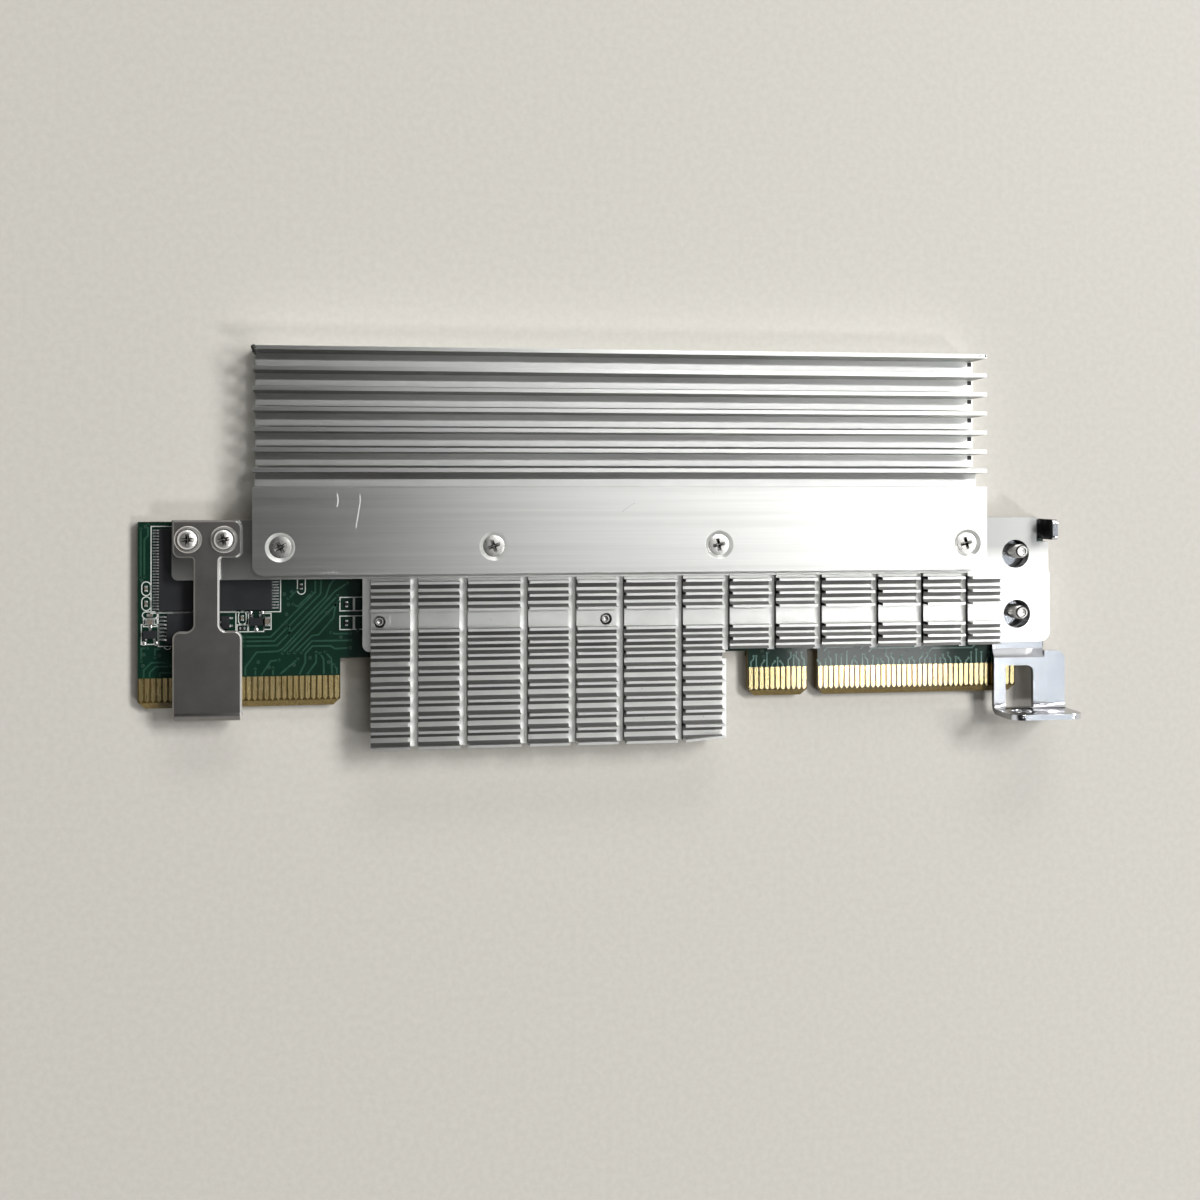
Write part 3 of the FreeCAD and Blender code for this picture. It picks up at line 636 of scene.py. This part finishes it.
low_screws(
    "heat_sink_screw_set", SINK_SCREWS, radius=1.0, head_radius=1.9, tip=3.7, pitch=0.4,
    node="heat_sink_screws",
)
low_screws(
    "end_bracket_screw_set", STUDS, radius=1.25, head_radius=2.3, tip=4.6, pitch=0.45,
    node="end_bracket_screws",
)


# Printed lines, copper tracks and solder on the board
def coated(name, light, dark, rough, scale, **settings):
    """Paint, mask or dull metal with small spots of a darker tone."""
    m = Nodes(name, **settings)
    spots = m.noise((scale, scale, scale), 3.0, 0.6)
    m.colour(m.ramp(spots, [(0.35, dark), (0.65, light)]))
    m.rough(m.span(spots, *rough))
    m.bump(spots, 4e-6)
    return m.material


print_white = coated("print_white", (0.72, 0.74, 0.7), (0.5, 0.53, 0.49), (0.5, 0.65), 5000)
track_green = coated(
    "track_under_mask", (0.022, 0.075, 0.048), (0.016, 0.06, 0.038), (0.3, 0.4), 900,
    Coat_Weight=0.3, Coat_Roughness=0.06, Specular_IOR_Level=0.3,
)
track_pale = coated(
    "track_pale", (0.13, 0.24, 0.21), (0.09, 0.19, 0.16), (0.25, 0.35), 900,
    Coat_Weight=0.3, Coat_Roughness=0.06,
)
hole_dark = coated("via_hole", (0.012, 0.014, 0.012), (0.006, 0.007, 0.006), (0.5, 0.7), 4000)
PRINT = (0.0, 0.025)
PRINT_WIDE = 0.17
TRACK = (-0.01, 0.035)

# Outlines as middle, width and height
FRAMES = (
    (13.1, 23.8, 21.76, 14.85), (9.92, 13.58, 12.99, 5.83), (2.12, 14.75, 2.3, 1.3),
    (2.04, 12.74, 2.85, 3.4), (17.52, 13.57, 1.8, 1.2), (19.83, 14.67, 2.6, 3.4),
    (21.74, 14.72, 1.25, 2.8), (35.28, 17.54, 2.3, 2.35), (35.28, 14.28, 2.3, 2.35),
    (37.75, 17.54, 2.2, 2.35), (37.75, 14.28, 2.2, 2.35),
)
CAPSULES = (
    (1.42, 20.58, 1.47, 2.35), (1.43, 18.01, 1.47, 2.35), (2.04, 16.04, 2.5, 1.15),
    (17.51, 15.36, 1.3, 2.3), (27.52, 20.95, 1.35, 3.2),
)
ARC_X, ARC_Y, ARC_RADIUS, ARC_STEPS = 5.0, 10.67, 0.55, 8

bm = bmesh.new()
for x, y, wide, high in FRAMES:
    a, b = wide / 2, high / 2
    outline = [(x - a, y - b), (x + a, y - b), (x + a, y + b), (x - a, y + b)]
    ribbon(bm, outline, PRINT_WIDE, *PRINT, closed=True)
for capsule in CAPSULES:
    ribbon(bm, round_slot(*capsule), PRINT_WIDE, *PRINT, closed=True)
angles = [math.pi * k / ARC_STEPS for k in range(ARC_STEPS + 1)]
arc = [(ARC_X + ARC_RADIUS * math.cos(a), ARC_Y - ARC_RADIUS * math.sin(a)) for a in angles]
ribbon(bm, arc, PRINT_WIDE, *PRINT)
piece("printed_lines", bm, print_white)

# Tracks at the left: level runs, slopes at 45 degrees and fan-outs to the contacts
LEFT_TRACKS = (
    ((17.8, 12.0), (22.3, 12.0), (29.9, 19.7), (29.9, 21.9)),
    ((17.8, 11.3), (22.9, 11.3), (30.8, 19.4), (30.9, 21.9)),
    ((17.8, 10.5), (23.4, 10.5), (31.7, 18.9), (32.4, 20.9), (33.2, 21.9)),
    ((18.0, 5.4), (18.0, 6.8), (19.9, 9.4), (23.5, 9.5), (24.3, 9.9), (33.3, 19.8), (35.4, 21.2)),
    ((24.3, 9.2), (33.7, 19.0)),
    ((25.3, 9.2), (33.9, 18.0)),
    ((26.4, 9.2), (29.3, 12.1), (30.5, 12.3), (33.0, 15.2), (33.4, 17.4)),
    ((27.5, 9.2), (29.3, 11.2), (36.0, 11.2)),
    ((27.2, 5.4), (28.2, 7.5), (28.2, 9.0), (29.4, 10.3), (32.5, 10.3), (33.3, 9.8), (35.7, 9.9)),
    ((28.5, 5.4), (30.05, 7.5), (30.05, 9.2)),
    ((31.4, 5.4), (31.3, 8.1), (30.7, 9.0)),
    ((32.8, 5.4), (32.65, 8.1), (31.6, 9.2)),
    ((33.6, 5.4), (33.6, 6.3), (33.1, 7.0)),
    ((22.7, 5.4), (22.7, 6.6)),
    ((19.7, 5.4), (19.7, 6.5)),
    ((20.7, 5.4), (22.3, 7.8), (23.7, 8.0)),
    ((24.0, 5.6), (26.9, 8.1)),
    ((26.1, 17.6), (26.9, 17.2), (29.3, 19.6)),
    ((32.6, 12.6), (33.3, 12.4), (36.0, 12.4)),
    ((25.3, 18.6), (27.4, 20.6)),
    ((1.0, 5.4), (1.0, 6.6), (2.3, 7.9), (4.9, 7.9)),
    ((2.0, 5.4), (2.0, 6.2), (3.0, 7.2), (5.4, 7.2)),
    ((3.7, 5.4), (3.7, 6.1), (5.6, 6.1)),
    ((0.6, 8.2), (0.6, 10.4), (1.6, 10.4)),
    ((2.9, 8.8), (2.9, 10.2), (4.2, 10.2)),
    ((0.5, 22.3), (0.5, 30.8)),
    ((1.1, 22.6), (1.1, 29.0), (1.7, 29.6), (1.7, 31.5)),
    ((24.9, 14.2), (25.5, 13.6), (25.5, 12.6)),
)
LEFT_WIDE, LEFT_PAD, NEAR_CONTACTS = 0.3, 0.55, 5.7
bm = bmesh.new()
for line in LEFT_TRACKS:
    ribbon(bm, line, LEFT_WIDE, *TRACK)
    for x, y in (line[0], line[-1]):
        if y > NEAR_CONTACTS:
            prism(bm, round_slot(x, y, LEFT_PAD, LEFT_PAD, 3), *TRACK)
piece("left_tracks", bm, track_green)

# The main contacts stand in two groups at a pitch of one millimetre
main_fingers = [107.77 + k for k in range(11)] + [120.82 + k for k in range(38)]


def fan_out(bm, x, rises, leans, knee, end, wide, pad, levels):
    """Run from a contact to a round pad, which may step to one side on its way."""
    rise = random.choice(rises)
    lean = random.choice(leans)
    step = knee + rise * 0.5
    line = [(x, MASK_EDGE), (x, step), (x + lean, step + abs(lean)), (x + lean, end + rise)]
    if lean == 0.0:
        line = [line[0], line[-1]]
    ribbon(bm, line, wide, *levels)
    prism(bm, round_slot(*line[-1], pad, pad, 3), *levels)


RIGHT_RUNS = (
    (121.5, 127.0, 8.6), (128.5, 136.5, 8.9), (130.0, 139.0, 8.3), (140.0, 147.0, 8.7),
    (141.5, 150.0, 8.1),
)
RUN_IN, RUN_OUT, RUN_WIDE = 0.7, 0.8, 0.24
bm = bmesh.new()
random.seed(11)
for x in main_fingers:
    fan_out(
        bm, x, rises=(0.7, 0.9, 1.3, 1.7, 2.2), leans=(-0.5, 0.0, 0.0, 0.5), knee=5.3, end=5.5,
        wide=0.22, pad=0.45, levels=TRACK,
    )
for low, high, y in RIGHT_RUNS:
    line = [(low, y - RUN_IN), (low + RUN_IN, y), (high, y), (high + RUN_OUT, y + RUN_OUT)]
    ribbon(bm, line, RUN_WIDE, *TRACK)
piece("right_tracks", bm, track_pale)

VIAS = (
    (109.9, 8.1), (111.0, 7.9), (110.2, 7.1), (114.2, 8.6), (114.9, 8.0), (115.7, 8.6),
    (125.2, 8.2), (133.0, 7.6), (137.4, 7.8), (25.0, 15.9), (25.3, 17.6), (24.6, 19.4),
    (25.9, 19.8), (31.9, 16.0), (34.3, 11.8), (35.9, 9.9), (32.2, 7.5), (22.0, 6.8),
    (20.2, 7.7), (29.0, 8.3), (26.3, 7.1), (1.0, 9.3), (3.6, 9.1), (0.9, 7.4), (1.3, 31.2),
    (0.7, 21.9), (37.2, 12.9),
)
for name, wide, rise, material in (
    ("via_rings", 0.62, -0.005, track_green), ("via_holes", 0.3, 0.004, hole_dark)
):
    bm = bmesh.new()
    for x, y in VIAS:
        prism(bm, round_slot(x, y, wide, wide, 4), TRACK[0], TRACK[1] + rise)
    piece(name, bm, material)

# Underside: runs from the lower contacts to pads, and a few long runs
BELOW = (-1.63, -1.59)
LONG_RUNS, LONG_ROWS = 12, 5
LONG_LEFT, LONG_PITCH = 30.0, 9.3
LONG_FRONT, LONG_APART = 12.0, 0.9
LONG_IN, LONG_OUT, LONG_WIDE = 1.6, 1.4, 0.28
LONG_RANGE = (10.0, 22.0)
side_fingers = [0.6 + k for k in range(5)] + [18.6 + k for k in range(15)]
random.seed(23)
bm = bmesh.new()
for x in main_fingers + side_fingers:
    fan_out(
        bm, x, rises=(0.8, 1.4, 2.1, 3.0), leans=(-0.6, 0.0, 0.6), knee=5.6, end=6.3, wide=0.24,
        pad=0.5, levels=BELOW,
    )
for k in range(LONG_RUNS):
    x, y = LONG_LEFT + LONG_PITCH * k, LONG_FRONT + LONG_APART * (k % LONG_ROWS)
    long = random.uniform(*LONG_RANGE)
    bend = x + LONG_IN + long * 0.5
    line = [
        (x, y), (x + LONG_IN, y + LONG_IN), (bend, y + LONG_IN),
        (bend + LONG_OUT, y + (LONG_IN + LONG_OUT)),
    ]
    ribbon(bm, line, LONG_WIDE, *BELOW)
piece("lower_tracks", bm, track_green)

# Solder pads and joints
PAD = (0.0, 0.05)
JOINTS = (
    (1.09, 11.2), (3.05, 11.2), (2.1, 14.05), (18.85, 16.3), (20.8, 16.3), (19.85, 13.3)
)
JOINT = ((0.42, 0.0), (0.4, 0.06), (0.3, 0.13), (0.12, 0.17), (0.03, 0.175))


def pad_columns(bm, middle, pitch, count, half, columns):
    """Columns of pads, each column given by its left and right edge."""
    for k in range(count):
        y = middle + (k - (count - 1) / 2) * pitch
        for left, right in columns:
            box(bm, left, right, y - half, y + half, *PAD)


bm = bmesh.new()
pad_columns(bm, middle=23.8, pitch=0.5, count=28, half=0.14, columns=((2.5, 3.75), (22.45, 23.7)))
pad_columns(bm, middle=13.76, pitch=0.65, count=7, half=0.17, columns=((3.5, 4.4), (10.8, 11.7)))
for x, y in JOINTS:
    lathe(bm, x, y, JOINT, segments=14)
piece("solder_joints", bm, tin_metal, smooth=45)

# Wear: bright scratches, dull marks and specks, each a thin form on the surface under it
scratch_bright = coated(
    "scratch_bright", (0.86, 0.86, 0.84), (0.7, 0.7, 0.68), (0.5, 0.6), 4000
)
mark_dull = metal(
    "mark_dull", (0.72, 0.72, 0.71), (0.64, 0.64, 0.63), (0.34, 0.42), (3000, 3000, 3000)
)
CROWN = 6.5
CHANNEL_FLOOR = 4.05
SUNK, PROUD = 0.02, 0.012
SPECK_FLAT = 0.8


def on(level):
    """Lower and upper level of a thin form on a surface."""
    return level - SUNK, level + PROUD


def scratches(bm, lines, level):
    for width, *points in lines:
        ribbon(bm, points, width, *on(level))


def specks(bm, spots, level):
    for x, y, size in spots:
        prism(bm, round_slot(x, y, size, size * SPECK_FLAT, 2), *on(level))


# Scratches as width and points, specks as place and size
FLANGE_SCRATCHES = (
    (0.2, (33.75, 36.83), (33.84, 36.2), (33.88, 35.47), (33.68, 34.59)),
    (0.17, (37.55, 36.73), (37.62, 35.9), (37.55, 35.1), (37.35, 33.91), (37.1, 32.4), (36.88, 30.99)),
)
FLANGE_SPECKS = (
    (33.31, 33.88, 0.18), (33.04, 32.77, 0.2), (33.7, 32.2, 0.1), (36.39, 29.61, 0.12),
    (36.6, 29.0, 0.1), (36.29, 28.45, 0.2), (35.7, 37.2, 0.12), (34.7, 35.9, 0.1),
)
EDGE_NICKS = (
    (31.4, 0.35), (32.2, 0.5), (32.95, 0.6), (33.6, 0.3), (38.4, 0.25), (39.3, 0.5), (41.2, 0.3),
    (43.0, 0.35),
)
FLANGE_EDGE = 23.2
NICK_WIDE, NICK_LEAN = 0.1, 0.4
bm = bmesh.new()
scratches(bm, FLANGE_SCRATCHES, CROWN)
specks(bm, FLANGE_SPECKS, CROWN)
nicks = [
    (NICK_WIDE, (x, FLANGE_EDGE), (x + NICK_LEAN * long, FLANGE_EDGE + long))
    for x, long in EDGE_NICKS
]
scratches(bm, nicks, CROWN)
piece("flange_scratches", bm, scratch_bright)

CHANNEL_SCRATCHES = ((0.1, (42.62, 15.9), (42.75, 15.1), (42.72, 14.25)),)
SINK_SCRATCHES = ((0.22, (44.3, 13.3), (44.62, 13.22)),)
SINK_SPECKS = ((68.2, 6.31, 0.2), (91.6, 11.1, 0.16), (55.4, 1.07, 0.16), (128.3, 16.85, 0.18))
bm = bmesh.new()
scratches(bm, CHANNEL_SCRATCHES, CHANNEL_FLOOR)
scratches(bm, SINK_SCRATCHES, CROWN)
specks(bm, SINK_SPECKS, CROWN)
piece("sink_scratches", bm, scratch_bright)

FLANGE_MARKS = (
    (0.09, (99.3, 37.7), (99.33, 36.95)),
    (0.06, (94.3, 36.75), (98.0, 36.85), (102.0, 36.9)),
    (0.2, (82.9, 33.6), (83.9, 34.4), (85.2, 35.2)),
    (0.16, (96.0, 58.25), (98.2, 58.2), (100.8, 58.3)),
)
bm = bmesh.new()
scratches(bm, FLANGE_MARKS, CROWN)
piece("flange_marks", bm, mark_dull)

CHANNEL_SPECKS = (
    (86.9, 2.3, 0.28), (87.2, -2.95, 0.3), (97.7, 2.35, 0.25), (98.0, -2.9, 0.28), (60.1, 14.9, 0.2)
)
bm = bmesh.new()
specks(bm, CHANNEL_SPECKS, CHANNEL_FLOOR)
piece("sink_specks", bm, mark_dull)


# Fins of the controller heat sink: channels as the fins at their upper and lower side
FIN_HALF = 0.225
CUT_STARTS = (
    46.15, 54.67, 65.27, 73.79, 82.31, 92.91, 101.43, 109.95, 118.47, 129.07, 137.59, 146.11
)
CUT_WIDE = 1.4
BLOCK_LEFT, BLOCK_RIGHT, FINS_RIGHT = 39.4, 101.43, 153.7
BAND_CHANNELS = ((21.46, 19.15), (19.15, 16.84), (13.26, 11.09), (11.09, 8.92))
BLOCK_CHANNELS = (
    (8.92, 6.3), (6.3, 3.68), (3.68, 1.06), (1.06, -1.56), (-1.56, -4.18), (-4.18, -6.8)
)
fin_starts = [BLOCK_LEFT] + [cut + CUT_WIDE for cut in CUT_STARTS]
fin_lengths = list(zip(fin_starts, CUT_STARTS + (FINS_RIGHT,)))

# Fins of the extension, and its channel floors: the one beside the flange is higher
EXTENSION_FINS = [40.87 + 3.465 * n for n in range(7)]
EXTENSION_FLOOR, INNER_FLOOR = -0.2, 1.3

# Narrow channels run out to sloped roots, which the milled screw channel lacks
ROOT_RISE, ROOT_SOUTH, ROOT_NORTH = 0.55, 0.92, 0.45
ROOT_LEFT, ROOT_RIGHT = 19.75, 150.05
LONG_WALL, LONG_TOE = 0.45, 0.87
INNER_WALL, INNER_TOE = 40.47, 39.3
SHADE_RAMP_LEFT, SHADE_RAMP_RIGHT = 45, 150


def root(bm, x0, x1, wall, toe, level=CHANNEL_FLOOR):
    """Three-sided bar that fills the corner between a fin's flank and the channel's floor."""
    low, high = level - SUNK, level + ROOT_RISE
    corners = ((wall, low), (toe, low), (wall, high))
    skin(bm, [[bm.verts.new(at(x, y, z)) for y, z in corners] for x in (x0, x1)])


def painted_shade_root(name, left, right):
    """Dull metal painted dark as shade, whose tone grows lighter along the card towards the right as
    painted light.
    """
    m = Nodes(name, Roughness=0.6, Specular_IOR_Level=0.3)
    along_x = m.axes(m.coords)["X"]
    part = m.span(along_x, 0.0, 1.0, at(SHADE_RAMP_LEFT, 0).x, at(SHADE_RAMP_RIGHT, 0).x)
    dull = m.mix(part, left, right)
    lines = m.noise((300, 6000, 6000), 3.0, 0.6)
    m.colour(m.mix(m.span(lines, 0.0, 0.3), dull, (0.05, 0.05, 0.048)))
    return m.material


bm = bmesh.new()
for channels, right in ((BAND_CHANNELS, FINS_RIGHT), (BLOCK_CHANNELS, BLOCK_RIGHT)):
    for upper, lower in channels:
        for x0, x1 in fin_lengths:
            if x1 <= right:
                north, south = upper - FIN_HALF, lower + FIN_HALF
                root(bm, x0, x1, north + SUNK, north - ROOT_SOUTH)
                root(bm, x0, x1, south - SUNK, south + ROOT_NORTH)
# Roots painted dark as shade, lighter towards the right as painted light
root_painted_shade = painted_shade_root("root_painted_shade", (0.065, 0.066, 0.061), (0.3, 0.3, 0.29))
piece("fin_roots", bm, root_painted_shade)
bm = bmesh.new()
for fin in EXTENSION_FINS[:-1]:
    root(bm, ROOT_LEFT, ROOT_RIGHT, fin + LONG_WALL, fin + LONG_TOE, EXTENSION_FLOOR)
piece("long_fin_roots", bm, extension_metal)
bm = bmesh.new()
root(bm, ROOT_LEFT, ROOT_RIGHT, INNER_WALL, INNER_TOE, INNER_FLOOR)
# The root beside the flange is painted as shade too, lighter towards the right as painted light
inner_root_shade = painted_shade_root("inner_root_painted_shade", (0.17, 0.17, 0.162), (0.85, 0.85, 0.83))
piece("inner_fin_root", bm, inner_root_shade)

# Each long channel has a brighter strip painted along the lower part of its floor, as light where the
# fins cast no shadow
STRIP_LEFT, STRIP_RIGHT = 19.7, 150.1
STRIP_SHORT = 1.64
INNER_STRIP = (38.12, 39.2)
painted_light_strip = metal(
    "painted_light_strip", (0.88, 0.88, 0.862), (0.82, 0.82, 0.802), (0.33, 0.38), (40, 2600, 2600),
    depth=2e-6, brushed=0.3,
)
bm = bmesh.new()
for lower, upper in zip(EXTENSION_FINS, EXTENSION_FINS[1:]):
    box(bm, STRIP_LEFT, STRIP_RIGHT, lower + LONG_TOE, upper - STRIP_SHORT, *on(EXTENSION_FLOOR))
box(bm, STRIP_LEFT, STRIP_RIGHT, *INNER_STRIP, *on(INNER_FLOOR))
piece("painted_channel_light", bm, painted_light_strip)

# The cross cuts have pale milled floors, painted paler still as light where the fins shade them, a
# pool of light painted from each cut into each channel, and a ledge beside the block
CUT_FLOOR = 3.2
LEDGE_RIGHT, LEDGE_FRONT, LEDGE_BACK, LEDGE_FOOT = 102.39, -7.0, 7.25, 1.5
LEDGE_LAP = 0.03
BLOCK_FRONT, BAND_FRONT, BAND_BACK = -6.95, 8.8, 22.1
CUT_GAP_LEFT, CUT_GAP_RIGHT = 0.06, 0.12
POOL_ROOT, POOL_SIDE, POOL_TIP, POOL_NARROW = 0.02, 0.32, 0.42, 0.12
milled_pale_painted_light = coated(
    "milled_pale_painted_light", (0.95, 0.955, 0.93), (0.86, 0.865, 0.84), (0.28, 0.34), 1800,
    Specular_IOR_Level=1.0,
)
bm = bmesh.new()
box(bm, BLOCK_RIGHT - LEDGE_LAP, LEDGE_RIGHT, LEDGE_FRONT, LEDGE_BACK, LEDGE_FOOT, CUT_FLOOR)
for cut in CUT_STARTS:
    front = BLOCK_FRONT if cut < BLOCK_RIGHT else BAND_FRONT
    left, right = cut + CUT_GAP_LEFT, cut + CUT_WIDE - CUT_GAP_RIGHT
    box(bm, left, right, front, BAND_BACK, *on(CUT_FLOOR))
    for upper, lower in BAND_CHANNELS + (BLOCK_CHANNELS if cut <= BLOCK_RIGHT else ()):
        north, south = upper - FIN_HALF - ROOT_SOUTH, lower + FIN_HALF + ROOT_NORTH
        # Pool of light painted on the channel floor beside the cut
        light_pool = [
            (cut - POOL_SIDE, south + POOL_NARROW), (cut - POOL_TIP, (north + south) / 2),
            (cut - POOL_SIDE, north - POOL_NARROW), (cut - POOL_ROOT, north),
            (cut - POOL_ROOT, south),
        ]
        prism(bm, light_pool, *on(CHANNEL_FLOOR))
piece("cut_floors", bm, milled_pale_painted_light)

# Dark flat marks on the floor at the right end of the extension's channels
END_MARK_LEFT, END_MARK_RIGHT = 149.2, 150.0
END_MARK_NEAR, END_MARK_FAR = 0.6, 1.4
bm = bmesh.new()
for n, fin in enumerate(EXTENSION_FINS):
    level = EXTENSION_FLOOR if n else INNER_FLOOR
    box(bm, END_MARK_LEFT, END_MARK_RIGHT, fin - END_MARK_FAR, fin - END_MARK_NEAR, *on(level))
piece("channel_end_marks", bm, hole_dark)

# Knocked corners of the rearmost fin, painted dark as shade, as place, size and unevenness
burr_painted_shade = metal(
    "burr_painted_shade", (0.06, 0.06, 0.055), (0.03, 0.03, 0.03), (0.35, 0.5), (3000, 3000, 3000)
)
BURRS = (
    ((19.72, 61.66, 6.45), (0.46, 0.44, 0.34), 0.12),
    ((19.8, 61.15, 6.0), (0.36, 0.5, 0.5), 0.12),
    ((19.95, 60.8, 5.2), (0.26, 0.4, 0.7), 0.12),
    ((149.95, 61.72, 6.4), (0.3, 0.3, 0.13), 0.2),
    ((149.5, 61.72, 6.4), (0.26, 0.3, 0.13), 0.2),
    ((149.05, 61.72, 6.4), (0.22, 0.3, 0.13), 0.2),
    ((148.7, 61.72, 6.4), (0.16, 0.3, 0.13), 0.2),
)


def lump(bm, place, radii, rough):
    """Uneven knob, such as metal pushed over at a corner."""
    knob = bmesh.ops.create_icosphere(bm, subdivisions=2, radius=1.0)["verts"]
    for vert in knob:
        swell = 1.0 + random.uniform(-rough, rough)
        vert.co = at(*(p + c * r * swell for p, c, r in zip(place, vert.co, radii)))


random.seed(5)
bm = bmesh.new()
for burr in BURRS:
    lump(bm, *burr)
piece("fin_burrs", bm, burr_painted_shade, smooth=60)

# Floor
FLOOR = 3.0
corners = [(-FLOOR, -FLOOR, 0), (FLOOR, -FLOOR, 0), (FLOOR, FLOOR, 0), (-FLOOR, FLOOR, 0)]
floor_mesh = bpy.data.meshes.new("floor")
floor_mesh.from_pydata(corners, [], [(0, 1, 2, 3)])
floor = bpy.data.objects.new("floor", floor_mesh)
scene.collection.objects.link(floor)
pale_floor = Nodes("floor_pale", Roughness=0.6)
grain = pale_floor.noise((900, 900, 900), 4.0, 0.6)
pale_floor.colour(
    pale_floor.ramp(grain, [(0.35, (0.62, 0.595, 0.54)), (0.65, (0.66, 0.635, 0.58))])
)
floor_mesh.materials.append(pale_floor.material)

# Light: flat panels under a high ceiling, most of them towards the right end of the card
CEILING = 3.0


def panel(name, slope, size, radiance, colour=(1.0, 1.0, 1.0)):
    """A flat lamp under the ceiling, placed by its slope along X and Y as seen from the object."""
    data = bpy.data.lights.new(name, "AREA")
    data.color = colour
    data.shape = "RECTANGLE"
    data.size, data.size_y = size
    data.energy = radiance * math.pi * size[0] * size[1]
    lamp = bpy.data.objects.new(name, data)
    lamp.location = (slope[0] * CEILING, slope[1] * CEILING, CEILING)
    scene.collection.objects.link(lamp)


panel("back_panel", (0.3, 2.0), (3.6, 3.6), 4.8)
panel("side_back", (0.7, 0.5), (0.8, 1.1), 33.0)
panel("side_front", (0.7, -0.5), (0.6, 0.6), 39.0)
panel("key_far", (0.9, 0.19), (0.8, 1.2), 26.0)
panel("key_middle", (0.25, 0.19), (0.72, 0.12), 23.0)
panel("key_near", (0.07, 0.19), (0.36, 0.12), 3.5)
panel("near_lamp", (0.1, -0.14), (0.36, 0.2), 3.4)
panel("small_lamp", (0.357, -0.128), (0.34, 0.12), 14.0)
panel("blue_window", (0.53, -0.15), (0.54, 0.66), 0.8, (0.84, 0.93, 1.0))

# Room: dim, darkest overhead, and with pale walls in what is seen and in reflections
OVERHEAD = (-0.3, -0.02, 1.0)
WALL_TOP, WALL_FULL = 0.76, 0.5
WALL_TONE = (0.7, 0.7, 0.69, 1)
world = bpy.data.worlds.new("room")
scene.world = world
world.use_nodes = True
tree = world.node_tree


def room_node(kind, links=(), **settings):
    """A node of the room's shader, with its inputs linked by place or name."""
    node = tree.nodes.new(kind)
    for key, value in settings.items():
        setattr(node, key, value)
    for socket, out in links:
        tree.links.new(out, node.inputs[socket])
    return node


direction = room_node("ShaderNodeTexCoord").outputs["Generated"]
overhead = room_node("ShaderNodeVectorMath", [(0, direction)], operation="DOT_PRODUCT")
overhead.inputs[1].default_value = Vector(OVERHEAD).normalized()
shade = room_node("ShaderNodeValToRGB", [("Fac", overhead.outputs["Value"])])
dim, darkest = shade.color_ramp.elements
dim.position, dim.color = 0.5, (0.03, 0.03, 0.032, 1)
darkest.position, darkest.color = 0.9, (0.02, 0.02, 0.02, 1)
upward = room_node("ShaderNodeSeparateXYZ", [(0, direction)]).outputs["Z"]
wall = room_node("ShaderNodeMapRange", [("Value", upward)])
wall.inputs["From Min"].default_value = WALL_TOP
wall.inputs["From Max"].default_value = WALL_FULL
rays = room_node("ShaderNodeLightPath").outputs
sight = [(0, rays["Is Camera Ray"]), (1, rays["Is Glossy Ray"])]
seen = room_node("ShaderNodeMath", sight, operation="MAXIMUM")
both = [(0, wall.outputs["Result"]), (1, seen.outputs[0])]
pale = room_node("ShaderNodeMath", both, operation="MULTIPLY")
tones = [(0, pale.outputs[0]), (6, shade.outputs["Color"])]
room_tone = room_node("ShaderNodeMix", tones, data_type="RGBA")
room_tone.inputs[7].default_value = WALL_TONE
tree.links.new(room_tone.outputs[2], tree.nodes["Background"].inputs["Color"])
